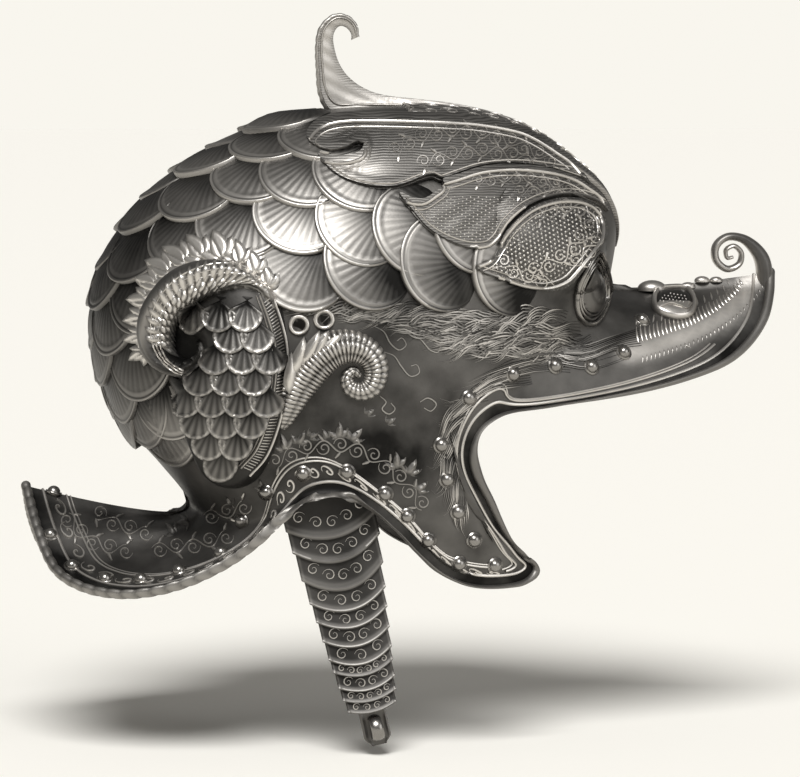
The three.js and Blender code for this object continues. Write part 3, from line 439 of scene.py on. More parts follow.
class Finish:
    """A material and the nodes that make it."""

    def __init__(self, name):
        self.material = bpy.data.materials.new(name)
        self.material.use_nodes = True
        self.nodes = self.material.node_tree.nodes
        self.links = self.material.node_tree.links
        self.shader = self.nodes["Principled BSDF"]

    def connect(self, socket, value):
        if isinstance(value, Socket):
            self.links.new(value.output, socket)
        else:
            socket.default_value = value

    def make(self, kind, values=(), output=0, **settings):
        node = self.nodes.new(kind)
        for name, setting in settings.items():
            setattr(node, name, setting)
        pairs = values.items() if isinstance(values, dict) else enumerate(values)
        for key, value in pairs:
            self.connect(node.inputs[key], value)
        return Socket(self, node.outputs[output])

    def mix(self, factor, first, second):
        return self.make(
            "ShaderNodeMix", {0: factor, 6: first, 7: second}, output=2, data_type="RGBA"
        )

    def clamp(self, value, low, high):
        return self.make("ShaderNodeMapRange", {0: value, 1: low, 2: high}, clamp=True)

    def place(self):
        return self.make("ShaderNodeTexCoord", output="Object")

    def noise(self, place, scale, detail=3.0, distortion=0.0):
        return self.make(
            "ShaderNodeTexNoise",
            {"Vector": place, "Scale": scale, "Detail": detail, "Distortion": distortion},
            output="Fac",
        )

    def surface(self, **inputs):
        for name, value in inputs.items():
            self.connect(self.shader.inputs[name.replace("_", " ").title()], value)
        return self.material


def grey(value):
    """A warm grey: a little more red and less blue than an even one."""
    return (value * (1 + 0.05), value, value * (1 - 0.07), 1)


def iron_finish(name, dark, bright, engraving=None, depth=0.25, roughness=0.42):
    """Patinated iron: dark where the relief is low, worn bright where it stands up. Its tone also carries
    painted shade and painted highlights on some pieces.
    """
    finish = Finish(name)
    place = finish.place()
    stain = finish.noise(place, 38, detail=5)
    grain = finish.noise(place, 900, detail=2)
    tone = finish.make("ShaderNodeAttribute", attribute_name="tone", output="Fac")
    # The tone mixes real wear with the painted shade and painted highlights that some pieces carry in it.
    wear_and_painted_light = finish.clamp(tone + (stain - 0.5) * 0.3, 0.0, 1.0)
    color = finish.mix(wear_and_painted_light, grey(dark), grey(bright))
    height = grain * 0.25 + finish.noise(place, 220, detail=3) * 0.5
    if engraving == "lines":
        wave = finish.make(
            "ShaderNodeTexWave",
            {"Vector": place, "Scale": 250.0, "Distortion": 7.0, "Detail": 1.0, "Detail Scale": 0.3},
            output="Fac",
            bands_direction="Z",
        )
        groove = (1 - finish.clamp(wave, 0.15, 0.7)) * finish.clamp(0.75 - tone, 0.0, 0.5)
        color = finish.mix(groove * 0.6, color, grey(dark * 0.3))
        height = height - groove * 0.8
    if engraving == "stipple":
        cell = finish.make("ShaderNodeTexVoronoi", {"Vector": place, "Scale": 800.0}, output="Distance")
        pits = finish.clamp(cell, 0.2, 0.5)
        color = finish.mix(pits, color, finish.mix(0.6, color, grey(dark * 0.4)))
        height = height + (1 - pits)
    bump = finish.make(
        "ShaderNodeBump", {"Strength": depth, "Distance": 0.0006, "Height": height}, output="Normal"
    )
    return finish.surface(
        base_color=color,
        metallic=0.92,
        roughness=finish.clamp(stain * 0.35 + (roughness - 0.17) + (1 - tone) * 0.12, 0.0, 1.0),
        normal=bump,
    )


IRON = iron_finish("patinated_iron", 0.01, 0.34)
BRIGHT_IRON = iron_finish("worn_iron", 0.012, 0.62, depth=0.2, roughness=0.34)
SHEET_IRON = iron_finish("helmet_iron", 0.012, 0.85, depth=0.3, roughness=0.38)
ENGRAVED_IRON = iron_finish("engraved_iron", 0.015, 0.6, engraving="lines", depth=0.35)
STIPPLED_IRON = iron_finish("stippled_iron", 0.015, 0.5, engraving="stipple", depth=0.4)
BLACK_IRON = iron_finish("blackened_iron", 0.006, 0.3, roughness=0.24)


def leather_finish():
    finish = Finish("strap_leather")
    place = finish.place()
    creases = finish.make(
        "ShaderNodeTexVoronoi", {"Vector": place, "Scale": 900.0}, output="Distance", feature="F1"
    )
    stain = finish.noise(place, 60, detail=4)
    color = finish.mix(stain, (0.035, 0.018, 0.01, 1), (0.11, 0.06, 0.035, 1))
    bump = finish.make(
        "ShaderNodeBump", {"Strength": 0.5, "Distance": 0.0004, "Height": creases}, output="Normal"
    )
    return finish.surface(base_color=color, roughness=stain * 0.2 + 0.6, normal=bump)


LEATHER = leather_finish()


# Building pieces
def solid_piece(name, points, faces, tones, material, crease=40):
    mesh = bpy.data.meshes.new(name)
    mesh.from_pydata((np.asarray(points) * MM).tolist(), [], faces)
    mesh.shade_smooth()
    mesh.set_sharp_from_angle(angle=math.radians(crease))
    layer = mesh.attributes.new("tone", "FLOAT", "POINT")
    layer.data.foreach_set("value", np.asarray(tones, np.float32))
    mesh.materials.append(material)
    mesh.update()
    piece = bpy.data.objects.new(name, mesh)
    bpy.context.collection.objects.link(piece)
    return piece


class Casting:
    """Gathers the surfaces that make up one piece."""

    def __init__(self):
        self.points, self.faces, self.tones = [], [], []
        self.count = 0

    def add(self, points, faces, tones, both_sides=True):
        points = np.asarray(points).reshape(-1, 3)
        tones = np.broadcast_to(np.asarray(tones, float).reshape(-1), (len(points),))
        self.points.append(points)
        self.tones.append(tones)
        self.faces += [tuple(self.count + i for i in face) for face in faces]
        self.count += len(points)
        if both_sides:
            self.points.append(points * MIRROR)
            self.tones.append(tones)
            self.faces += [tuple(self.count + i for i in reversed(face)) for face in faces]
            self.count += len(points)

    def piece(self, name, material, slot, nodes=(), crease=40):
        points, tones = np.vstack(self.points), np.concatenate(self.tones)
        made = solid_piece(name, points, self.faces, tones, material, crease)
        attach(made, "root")
        if nodes:
            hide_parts(*nodes)


def rays_to(pixels):
    """Directions in which the picture's camera sees pixels."""
    offset = (np.asarray(pixels, float).reshape(-1, 2) - (IMAGE_WIDTH / 2, IMAGE_HEIGHT / 2)) / FOCAL
    return -BACK + offset[:, :1] * RIGHT - offset[:, 1:] * OVER


class Ground:
    """A surface that ornament is laid on, as the picture's camera sees it."""

    def __init__(self, points, normals, faces):
        triangles = []
        for face in faces:
            triangles += [(face[0], face[i], face[i + 1]) for i in range(1, len(face) - 1)]
        self.points, self.normals = np.asarray(points), np.asarray(normals)
        self.triangles = np.array(triangles)
        self.tree = BVHTree.FromPolygons(self.points.tolist(), self.triangles.tolist())

    def _met(self, starts, ways, otherwise):
        """Points and smooth normals where rays meet the surface, or nearest to a place if they miss."""
        spots, owners = [], []
        for start, way, place in zip(starts, ways, otherwise):
            spot, _, owner, _ = self.tree.ray_cast(Vector(start), Vector(way))
            if spot is None:
                spot, _, owner, _ = self.tree.find_nearest(Vector(place))
            spots.append(spot)
            owners.append(owner)
        return self._smoothed(np.array(spots), np.array(owners))

    def seen_at(self, pixels):
        """Points and smooth normals where the camera sees pixels."""
        rays = unit(rays_to(pixels))
        beside = LENS_POINT + rays * (DISTANCE - MISS_DEPTH)
        return self._met(np.broadcast_to(LENS_POINT, rays.shape), rays, beside)

    def dropped(self, starts, direction):
        """Points and smooth normals where parallel rays meet the surface."""
        starts = starts.reshape(-1, 3)
        return self._met(starts, np.broadcast_to(direction, starts.shape), starts)

    def _smoothed(self, spots, owners):
        a, b, c = (self.points[self.triangles[owners, i]] for i in range(3))
        ab, ac, ap = b - a, c - a, spots - a
        d00, d01, d11 = (ab * ab).sum(1), (ab * ac).sum(1), (ac * ac).sum(1)
        d20, d21 = (ap * ab).sum(1), (ap * ac).sum(1)
        scale = np.maximum(d00 * d11 - d01 * d01, 1e-12)
        v = (d11 * d20 - d01 * d21) / scale
        w = (d00 * d21 - d01 * d20) / scale
        weights = np.stack([1 - v - w, v, w], axis=1)
        normals = sum(weights[:, i : i + 1] * self.normals[self.triangles[owners, i]] for i in range(3))
        return spots, unit(normals)


def strand(centres, normals, halves, heights, sides=5, closed=False, sunk=0.4, shade=1.0):
    """A raised line along a path on the metal: half an ellipse across, with its underside sunk."""
    ahead = np.roll(centres, -1, axis=0) - np.roll(centres, 1, axis=0)
    if not closed:
        ahead[0], ahead[-1] = centres[1] - centres[0], centres[-1] - centres[-2]
    ahead = unit(ahead)
    aside = unit(np.cross(normals, ahead))
    halves = np.broadcast_to(halves, (len(centres),))
    heights = np.broadcast_to(heights, (len(centres),))
    angles = np.linspace(0, math.pi, sides)
    across = np.concatenate([np.cos(angles), [-0.9, 0.9]])
    up = np.concatenate([np.sin(angles), [0, 0]])
    low = np.concatenate([np.full(sides, 0.0), [-1, -1]])
    low[0] = low[sides - 1] = -0.3
    ring = rings_round(
        centres, aside, normals, halves[:, None] * across, heights[:, None] * up + sunk * low
    )
    shade = np.broadcast_to(shade, (len(centres),))[:, None]
    tones = (0.25 + 0.75 * np.maximum(up, 0)) * shade
    return ring.reshape(-1, 3), tube_faces(len(centres), sides + 2, closed), tones.reshape(-1)


def tapered(count, full, tip=0.25, root=0.25, peak=0.35):
    """Widths along a strand: thin at both ends and full at the peak."""
    t = np.linspace(0, 1, count)
    rise = root + (1 - root) * smoothstep(0, peak, t)
    fall = tip + (1 - tip) * (1 - smoothstep(peak, 1, t))
    return full * np.minimum(rise, fall)


# The sheet itself
SIDE_COLUMNS = 176
BOWL_STEPS = 88
FLARE_STEPS = 28
sheet_rows = np.linspace(0, LAST_ROW, SIDE_COLUMNS)
outer = sheet_grid(sheet_rows, BOWL_STEPS, FLARE_STEPS)
outer_normals = grid_normals(outer)
columns, depth_count = outer.shape[:2]
metal = Ground(
    outer.reshape(-1, 3),
    outer_normals.reshape(-1, 3),
    grid_faces(columns, depth_count, closed=True),
)
# How far in from the edge each point of the sheet is, from the edge up
rib_steps = np.linalg.norm(np.diff(outer[:, ::-1], axis=1), axis=2)
edge_lengths = np.concatenate([np.zeros((columns, 1)), np.cumsum(rib_steps, axis=1)], axis=1)


def seen_pixels(points):
    """Pixels where the picture's camera sees points."""
    away = points - AIM
    scale = FOCAL / (DISTANCE - away @ BACK)
    return np.stack(
        [IMAGE_WIDTH / 2 + away @ RIGHT * scale, IMAGE_HEIGHT / 2 - away @ OVER * scale], axis=-1
    )


# The belt of the snout, in pixels, and how far the painted highlight along it reaches
SNOUT_BELT = [(630, 352), (668, 341), (702, 328), (732, 308), (752, 286), (762, 266)]
BELT_REACH = 9.5
# The painted shade on the cheek: the middle of its darkest part and its half sizes
CHEEK_SHADE = {"x": -2, "z": -158, "long": 48, "tall": 32}
# The painted shade in the recess beside the roll ends between these ways in from the edge
RECESS_SHADE_END = (4.5, 7.5)
INSIDE_TONE = 0.08
# How far the sheet reaches in under an eyelet's ring
HOLE_MARGIN = 0.9


def sheet_tone(points):
    """Painted light: painted shade, darkest on the cheek behind the ear volute, and a painted highlight on
    the belt of the snout.
    """
    x, z = points[..., 0], points[..., 2]
    along = (x - CHEEK_SHADE["x"]) / CHEEK_SHADE["long"]
    down = (z - CHEEK_SHADE["z"]) / CHEEK_SHADE["tall"]
    cheek = np.exp(-(along**2 + down**2))
    right = points.reshape(-1, 3).copy()
    right[:, 1] = -np.abs(right[:, 1])
    spots = seen_pixels(right)
    belt = smooth_path(SNOUT_BELT, 50)
    away = np.sqrt(((spots[:, None, :] - belt[None]) ** 2).sum(-1)).min(1).reshape(x.shape)
    belt_highlight = np.exp(-((away / BELT_REACH) ** 2))
    # Painted highlight on the belt of the snout, painted shade on the cheek.
    return np.clip(0.1 + 0.9 * belt_highlight - 0.1 * cheek, 0.01, 1)


def helmet_sheet(holes):
    """The sheet's two faces, open at the ear holes."""
    casting = Casting()
    holes = np.vstack([holes, holes * MIRROR])
    # Painted shade: the sheet is darker in the recess beside the roll.
    recess_shade = 0.1 + 0.9 * smoothstep(*RECESS_SHADE_END, edge_lengths[:, ::-1])
    for face_grid, inside, tones in (
        (outer, False, sheet_tone(outer) * recess_shade),
        ((outer - outer_normals * SHEET)[:, ::2], True, INSIDE_TONE),
    ):
        points = face_grid.reshape(-1, 3)
        faces = np.array(grid_faces(columns, face_grid.shape[1], closed=True))
        middles = points[faces].mean(1)
        away = np.linalg.norm(middles[:, None] - holes[None], axis=2).min(1)
        kept = faces[away > EYELET_RADIUS - HOLE_MARGIN]
        casting.add(points, (kept[:, ::-1] if inside else kept).tolist(), tones, both_sides=False)
    casting.piece("helmet_sheet", SHEET_IRON, "iron", ["skull_shell"], crease=60)


# The rope of the rolled edge: where it starts and is full, its pitch and its depth
ROPE_START_X, ROPE_FULL_X = -10, -50
ROPE_PITCH, ROPE_DEPTH = 7.5, 0.22
ROLL_POINTS, ROLL_SIDES = 1300, 14


def edge_roll():
    """The rolled edge, roped from the cheek's tip back to the tail."""
    lines = [smooth_path(outer[:SIDE_COLUMNS, place], ROLL_POINTS // 2) for place in (-1, -3)]
    edge, inward = (np.concatenate([line, line[1:-1][::-1] * MIRROR]) for line in lines)
    out = unit(edge - inward)
    ahead = unit(np.roll(edge, -1, axis=0) - np.roll(edge, 1, axis=0))
    up = unit(np.cross(out, ahead))
    side = np.where(edge[:, 1] <= 0, 1, -1)[:, None]
    core = edge + out * ROLL_CORE * ROLL_RADIUS
    travelled = np.cumsum(np.linalg.norm(np.roll(core, -1, axis=0) - core, axis=1))
    roped = smoothstep(ROPE_START_X, ROPE_FULL_X, core[:, 0])[:, None]
    angles = np.linspace(0, 2 * math.pi, ROLL_SIDES, endpoint=False)
    twist = travelled[:, None] * (2 * math.pi / ROPE_PITCH) + angles * side
    groove = np.abs(np.sin(twist / 2)) ** 0.6
    radius = ROLL_RADIUS * (1 - ROPE_DEPTH * roped * (1 - groove))
    ring = rings_round(core, out, up, radius * np.cos(angles), radius * np.sin(angles))
    tones = 0.35 + 0.5 * groove * roped + 0.15 * (1 - roped)
    casting = Casting()
    casting.add(ring, tube_faces(len(ring), ROLL_SIDES, closed=True), tones, both_sides=False)
    casting.piece("edge_roll", IRON, "iron")


# Scales: each stands at a turn from straight up to the front and a swing away from the side, in degrees
# about the ear, as in the frame
SCALE_ROWS = [
    [(52, 54), (38, 45.5), (17, 39.5), (-7, 38.5)],
    [(39, 54), (27, 48.5), (12, 47.5), (-5, 50.5), (-21, 54), (-83, 46), (-95, 50)],
    [(10, 58), (-2, 60), (-13, 65), (-34, 60.5), (-54, 61), (-72, 58), (-88, 60)],
    [(3, 70), (-7, 74), (-26, 69.5), (-45, 71), (-63, 71.5), (-81, 70.5)],
    [(-3, 84), (-19, 81), (-36, 81), (-54, 80.5), (-72, 81), (-90, 78)],
]
CENTRE_SCALES = (-11, -28, -46, -64, -82)
SCALE_LENGTH, SCALE_WIDTH = 20.0, 19.0
SCALE_SPREAD = math.radians(80)
SCALE_SPOKES, SCALE_FLUTES = 81, 23
SCALE_HOOPS = [0, 0.14, 0.28, 0.42, 0.56, 0.7, 0.82, 0.865, 0.89, 0.915, 0.94, 0.96, 0.98, 1]
# How far the lowest row stands out, and each row above it more
SCALE_LIFT, LIFT_A_ROW = 0.3, 0.25
# Painted shade: the scales are darkest behind the first place and full bright before the second
REAR_SHADE_X = (-128, -72)


def scale_surface(turn, swing, droop, lift):
    """One scale: a round lobe fanned with fine flutes from its root, inside a double raised rim."""
    centre = around_ear(np.float64(turn), np.float64(swing))
    back = 3 * math.cos(math.radians(droop)) / math.sin(math.radians(swing))
    inward = 3 * math.sin(math.radians(droop))
    toward = around_ear(np.float64(turn - back), np.float64(swing - inward)) - centre
    normal = bowl_normal(centre)
    ahead = unit(toward - normal * (toward @ normal))
    aside = np.cross(normal, ahead)
    spread = np.linspace(-1, 1, SCALE_SPOKES)[:, None]
    share = np.array(SCALE_HOOPS)[None, :]
    angle = spread * SCALE_SPREAD
    reach = 2.0 * np.cos(angle) ** 0.55
    a = reach * share * np.cos(angle) - 1
    b = reach * share * np.sin(angle) * 1.05
    over = centre + ahead * (a * SCALE_LENGTH)[..., None] + aside * (b * SCALE_WIDTH)[..., None]
    foot = leave_bowl(over, np.broadcast_to(normal, over.shape), -30, 25)
    out = bowl_normal(foot)
    tip = np.clip((a + 1) / 2, 0, 1)
    wave = np.cos(SCALE_FLUTES * math.pi * spread)
    inside = 1 - smoothstep(0.86, 0.9, share)
    flute = 0.11 * wave * smoothstep(0.2, 0.6, share) * inside
    rim = 0.9 * np.exp(-(((share - 0.965) / 0.02) ** 2)) + 0.5 * np.exp(-(((share - 0.9) / 0.018) ** 2))
    swell = 1.3 * (1 - share**2) * smoothstep(0, 0.4, share)
    height = lift - 1.2 + 4.2 * tip**0.9 + (flute + rim) * smoothstep(0.15, 0.6, tip) + swell
    height = np.where(share == 1, -0.5, height)
    tone = 0.43 - 0.16 * (1 - wave) * inside * smoothstep(0.1, 0.4, share) * (1.15 - tip) + 0.5 * rim
    # Painted shade: each scale darkens toward its root, where the scale above overlaps it. A dark line
    # runs between its two rims.
    tone = tone * (0.05 + 0.95 * smoothstep(0.25, 0.85, tip)) - 0.35 * (np.abs(share - 0.932) < 0.012)
    # Painted shade on the rear scales.
    rear_shade = 0.35 + 0.65 * smoothstep(*REAR_SHADE_X, foot[..., 0])
    tone = np.where(share == 1, 0.05, tone) * rear_shade
    points = foot + out * height[..., None]
    return points, grid_faces(SCALE_SPOKES, share.shape[1]), np.clip(tone, 0, 1)


def scale_coat():
    casting = Casting()
    for level, row in enumerate(SCALE_ROWS):
        for turn, swing in row:
            droop = 10 + 25 * smoothstep(-75, 0, turn)
            casting.add(*scale_surface(turn, swing, droop, SCALE_LIFT + LIFT_A_ROW * level))
    for turn in CENTRE_SCALES:
        casting.add(*scale_surface(turn, 90, 0, SCALE_LIFT), both_sides=False)
    casting.piece("scale_coat", BRIGHT_IRON, "iron", crease=70)


# Plates of relief cut to an outline
def border_distance(spots, outline):
    """Distance from each spot to a closed outline."""
    ends = np.roll(outline, -1, axis=0)
    best = np.full(len(spots), 1e9)
    for a, b in zip(outline, ends):
        along = b - a
        t = np.clip(((spots - a) @ along) / max(along @ along, 1e-9), 0, 1)
        best = np.minimum(best, np.linalg.norm(spots - (a + t[:, None] * along), axis=1))
    return best


def inside_outline(spots, outline):
    x, y = spots[:, 0], spots[:, 1]
    inside = np.zeros(len(spots), bool)
    ends = np.roll(outline, -1, axis=0)
    for (x1, y1), (x2, y2) in zip(outline, ends):
        crosses = (y1 > y) != (y2 > y)
        at = x1 + (y - y1) / ((y2 - y1) or 1e-9) * (x2 - x1)
        inside ^= crosses & (x < at)
    return inside


def signed_area(outline):
    """Twice the area of a closed outline, with a sign for the way it turns."""
    x, y = outline[:, 0], outline[:, 1]
    return (x * np.roll(y, -1) - np.roll(x, -1) * y).sum()


# Rows of a plate's triangular grid lie this many spacings apart, and its skirt reaches this far down
GRID_ROW, SKIRT_DEPTH = 0.866, 0.6


def relief_plate(outline, height_at, tone_at, ground, spacing=2.4, base=1.0, smooth=True):
    """A raised plate inside an outline in pixels. height_at and tone_at take pixels and the distance to
    the border in millimetres."""
    outline = np.asarray(outline, float)
    if smooth:
        length = np.linalg.norm(np.roll(outline, -1, axis=0) - outline, axis=1).sum()
        outline = smooth_path(outline, int(length / spacing), closed=True)
    low, high = outline.min(0), outline.max(0)
    xs = np.arange(low[0], high[0], spacing)
    ys = np.arange(low[1], high[1], spacing * GRID_ROW)
    gx, gy = np.meshgrid(xs, ys)
    gx = gx + (np.arange(len(ys)) % 2)[:, None] * spacing / 2
    spots = np.stack([gx.ravel(), gy.ravel()], axis=1)
    spots = spots[inside_outline(spots, outline)]
    spots = spots[border_distance(spots, outline) > spacing * 0.55]
    corners = [Vector(spot) for spot in np.vstack([outline, spots])]
    count = len(outline)
    edges = [(i, (i + 1) % count) for i in range(count)]
    flat, _, faces, _, _, _ = delaunay_2d_cdt(corners, edges, [], 1, 1e-5)
    flat = np.array([tuple(spot) for spot in flat])
    points, normals = ground.seen_at(flat)
    border = border_distance(flat, outline) * MM_PER_PIXEL
    height = base + height_at(flat, border)
    top = points + normals * height[:, None]
    tones = np.clip(tone_at(flat, border), 0, 1)
    faces = [tuple(reversed(face)) for face in faces]
    skirt_top = points[:count] + normals[:count] * height[:count, None]
    skirt_low = points[:count] - normals[:count] * SKIRT_DEPTH
    total = len(flat)
    walls = [(total + i, total + j, total + count + j, total + count + i) for i, j in edges]
    if signed_area(outline) > 0:
        walls = [tuple(reversed(wall)) for wall in walls]
    all_points = np.vstack([top, skirt_top, skirt_low])
    all_tones = np.concatenate([tones, np.full(count, 0.25), np.full(count, 0.05)])
    return all_points, faces + walls, all_tones


def plain_leaf(outline, ground, rise, shades, spacing, base):
    """A plate that rises from its border. rise: height and width of the rise. shades: tone of the border,
    what it gains, and from where to where."""
    height, width = rise
    dark, gain, low, high = shades

    def height_at(spots, border):
        return height * smoothstep(0, width, border)

    def tone_at(spots, border):
        return dark + gain * smoothstep(low, high, border)

    return relief_plate(outline, height_at, tone_at, ground, spacing, base, smooth=False)


UPPER_LEAF = [
    (420, 121), (376, 120), (342, 121), (322, 126), (311, 135), (308.5, 144), (316, 152), (332, 156),
    (349, 152.5), (358, 148), (364, 150), (361, 157), (350, 161), (334, 162), (319, 158.5), (325, 168),
    (336, 178), (350, 185), (371, 190), (393, 190.5), (407, 187), (421, 181.5), (432, 179),
    (441, 182.5), (457, 177.5), (479, 170.5), (501, 167.5), (526, 167.5), (554, 171), (576, 176),
    (588, 184), (573, 164), (555, 151), (536, 139), (517, 131), (478, 124), (448, 122),
]
LOWER_LEAF = [
    (441, 184), (442.5, 189), (434, 196), (423, 202.5), (412, 202), (398.5, 197), (412, 214.5),
    (426, 230), (446, 242), (468, 248.5), (487, 248), (498, 240), (510, 222), (530, 206), (556, 197),
    (580, 197), (597, 203), (607, 212), (601, 197), (588, 187), (574, 178.5), (554, 172.5),
    (526, 169), (501, 169), (479, 172), (457, 179),
]
BROW_PLATE = [
    (473.5, 268.5), (489, 260), (497, 248), (505.5, 234), (518, 220), (534.5, 208), (557, 201),
    (579, 201), (595, 208), (603, 220), (604, 236), (595, 251), (581, 269), (568, 282.5),
    (548, 289.5), (526, 288), (504, 281),
]


def double_border(border, height=0.9, at=1.3, half=0.75):
    return height * np.exp(-(((border - at) / half) ** 2))


def vertex_normals(points, faces):
    mesh = bpy.data.meshes.new("scratch")
    mesh.from_pydata(points.tolist(), [], [list(face) for face in faces])
    normals = np.array([tuple(vertex.normal) for vertex in mesh.vertices])
    bpy.data.meshes.remove(mesh)
    return normals


def ground_of(body):
    points, faces, _ = body
    return Ground(points, vertex_normals(points, faces), faces)


def spiral(centre, radius, start, turns, hand, count=22):
    """Pixels of a scroll that winds in from its rim."""
    t = np.linspace(0, 1, count)
    angle = math.radians(start) + hand * 2 * math.pi * turns * t
    reach = radius * (1 - 0.85 * t)
    return np.stack([centre[0] + reach * np.cos(angle), centre[1] + reach * np.sin(angle)], axis=1)


def vine(path, step, radius):
    """A waving stem along a path, with a scroll in each of its hollows and small leaves on its bends."""
    line = smooth_path(path, 300)
    travelled = lengths_along(line)
    ahead = unit(np.gradient(line, axis=0))
    aside = square_to(ahead)
    hollows = max(int(travelled[-1] / step), 1)
    s = np.linspace(0, travelled[-1], hollows * 9 + 2)
    wave = 0.7 * radius * np.cos(math.pi * s / step)
    lines = [read_at(s, travelled, line) + read_at(s, travelled, aside) * wave[:, None]]
    for k in range(hollows + 1):
        bend = 1 if k % 2 == 0 else -1
        spot, out, back = (read_at(k * step, travelled, table) for table in (line, aside, -ahead))
        middle = spot - out * bend * radius * 0.25
        start = math.degrees(math.atan2(back[1], back[0]))
        lines.append(spiral(middle, radius * 0.9, start, 1.3, bend))
        root = middle + out * bend * radius
        lines.append(root + np.outer(np.linspace(0, 1, 6), out * bend + back * 0.8) * radius * 0.75)
    return lines


# A line with a longer step than this would bridge a hollow
LONGEST_STEP = 9.0
# A line of fewer points than this is a small leaf, and is made wider
LEAF_POINTS, LEAF_WIDENING = 8, 1.9


def lay(casting, lines, ground, half, shade=1.0):
    """Raises lines given in pixels from a surface, but none that would bridge a hollow."""
    for line in lines:
        places, facing = ground.seen_at(line)
        if steps_along(places).max() > LONGEST_STEP:
            continue
        full = half * (LEAF_WIDENING if len(line) < LEAF_POINTS else 1)
        width = tapered(len(line), full, tip=0.55, root=0.45)
        casting.add(*strand(places, facing, width, width * 1.1, sides=4, shade=shade))


def raise_line(casting, ground, line, half, height, **shape):
    """Raises one line given in pixels from a surface."""
    casting.add(*strand(*ground.seen_at(line), half, height, **shape))


# Rings of a bead: share of its radius, share of its height and tone
BEAD_RINGS = ((1, -0.2, 0.2), (0.72, 0.65, 0.8), (0.05, 1, 1.0))
BEAD_SIDES = 6


def beads(spots, ground, radius, height):
    """Small raised beads at pixels."""
    places, facing = ground.seen_at(spots)
    first = unit(np.cross(facing, (0.3, 0.1, 1.0)))
    second = np.cross(facing, first)
    angles = np.linspace(0, 2 * math.pi, BEAD_SIDES, endpoint=False)
    cos, sin = np.cos(angles)[None, :, None], np.sin(angles)[None, :, None]
    around = cos * first[:, None] + sin * second[:, None]
    rings = [
        places[:, None] + around * radius * share + facing[:, None] * height * up
        for share, up, _ in BEAD_RINGS
    ]
    points = np.concatenate(rings, axis=1)
    size = points.shape[1]
    one = tube_faces(len(BEAD_RINGS), BEAD_SIDES, capped=False)
    one.append(tuple(range(size - BEAD_SIDES, size)))
    faces = [tuple(i * size + corner for corner in face) for i in range(len(points)) for face in one]
    tones = np.repeat([tone for _, _, tone in BEAD_RINGS], BEAD_SIDES)
    return points, faces, np.tile(tones, len(points))


def bead_field(outline, spacing, tilt, margin):
    """Staggered pixels inside an outline."""
    outline = smooth_path(outline, 160, closed=True)
    steps = np.arange(-40, 41)
    gx, gy = np.meshgrid(steps, steps)
    u = (gx + (gy % 2) * 0.5) * spacing
    v = gy * spacing * 0.82
    spots = outline.mean(0) + turned(np.stack([u.ravel(), v.ravel()], axis=1), tilt)
    spots = spots[inside_outline(spots, outline)]
    return spots[border_distance(spots, outline) > margin]


UPPER_VINES = [
    [(396, 150), (416, 138), (444, 132), (472, 132), (502, 138), (530, 150), (552, 160)],
    [(424, 163), (450, 155), (478, 151), (506, 154), (534, 163)],
]
LOWER_VINES = [
    [(478, 181), (505, 178), (532, 179), (558, 184), (582, 191)],
    [(520, 192), (545, 190), (560, 192)],
]
BROW_VINES = [
    [(538, 216), (556, 208), (578, 208), (598, 216)],
    [(604, 226), (596, 242), (582, 256), (566, 268)],
    [(586, 222), (580, 240), (566, 254), (548, 264), (530, 272)],
    [(502, 262), (516, 272), (534, 279), (556, 281)],
]
# Folds of the upper leaf's tail and ribs of the lower leaf, in pixels: the point that they fan out from,
# and how far forward they run
UPPER_FAN, UPPER_FAN_END = (372, 128), 362
LOWER_FAN, LOWER_FAN_END = (590, 130), 540
# The painted highlight on the upper leaf, its half sizes, and the line above which the lower leaf has no
# beads
LEAF_HIGHLIGHT, LEAF_HIGHLIGHT_SIZE = (356, 172), (24, 14)
LOWER_BEADS_TOP = 196
# A plate's lift over the scales fades between these pixels
SCALES_END = (450, 600)


def over_scales(spots, full):
    """How far a plate is lifted where it lies over the scales."""
    return full * (1 - smoothstep(*SCALES_END, spots[:, 0])) + 0.8


def inset_line(outline, inset, count=200):
    """A closed line some pixels inside an outline."""
    line = smooth_path(outline, count, closed=True)
    ahead = unit(np.roll(line, -2, axis=0) - np.roll(line, 2, axis=0))
    return line + square_to(ahead) * inset * np.sign(signed_area(line))


def plate_rims(casting, outline, ground):
    """A full fillet round a plate and a thin one inside it."""
    for inset, half, height in ((1.8, 1.05, 1.3), (7.0, 0.45, 0.6)):
        raise_line(casting, ground, inset_line(outline, inset), half, height, closed=True)


def bearing_from(spots, centre):
    away = spots - centre
    return np.arctan2(away[:, 1], away[:, 0])


def upper_height(spots, border):
    folds = np.cos(bearing_from(spots, UPPER_FAN) * 26) * 0.35
    trough = -0.6 * smoothstep(2.6, 4.5, border) * (1 - smoothstep(4.5, 12, border))
    fold = np.where(spots[:, 0] < UPPER_FAN_END, folds, 0) * smoothstep(2, 5, border)
    return fold + trough + over_scales(spots, 3.5)


def lower_height(spots, border):
    ribs = np.cos(bearing_from(spots, LOWER_FAN) * 60) * 0.35
    ribs = ribs * smoothstep(2.5, 6, border) * (spots[:, 0] < LOWER_FAN_END)
    return ribs + over_scales(spots, 3.5)


def brow_height(spots, border):
    return 1.6 * smoothstep(1, 14, border) + over_scales(spots, 3.6)


def leaf_tone(spots, border):
    # Painted highlight: the leaves are paler round one spot of the upper leaf.
    away = (spots - LEAF_HIGHLIGHT) / LEAF_HIGHLIGHT_SIZE
    return 0.3 + 0.45 * np.exp(-(away**2).sum(1))


def brow_tone(spots, border):
    return np.full(len(spots), 0.42)


def dressed_plate(casting, ornament, outline, height_at, tone_at, base, vines, vine_sizes):
    """A plate with its rims and vines, whose sizes are their step, radius and half width."""
    body = relief_plate(outline, height_at, tone_at, metal, base=base)
    casting.add(*body)
    ground = ground_of(body)
    plate_rims(ornament, outline, ground)
    step, radius, half = vine_sizes
    for path in vines:
        lay(ornament, vine(path, step, radius), ground, half)
    return ground


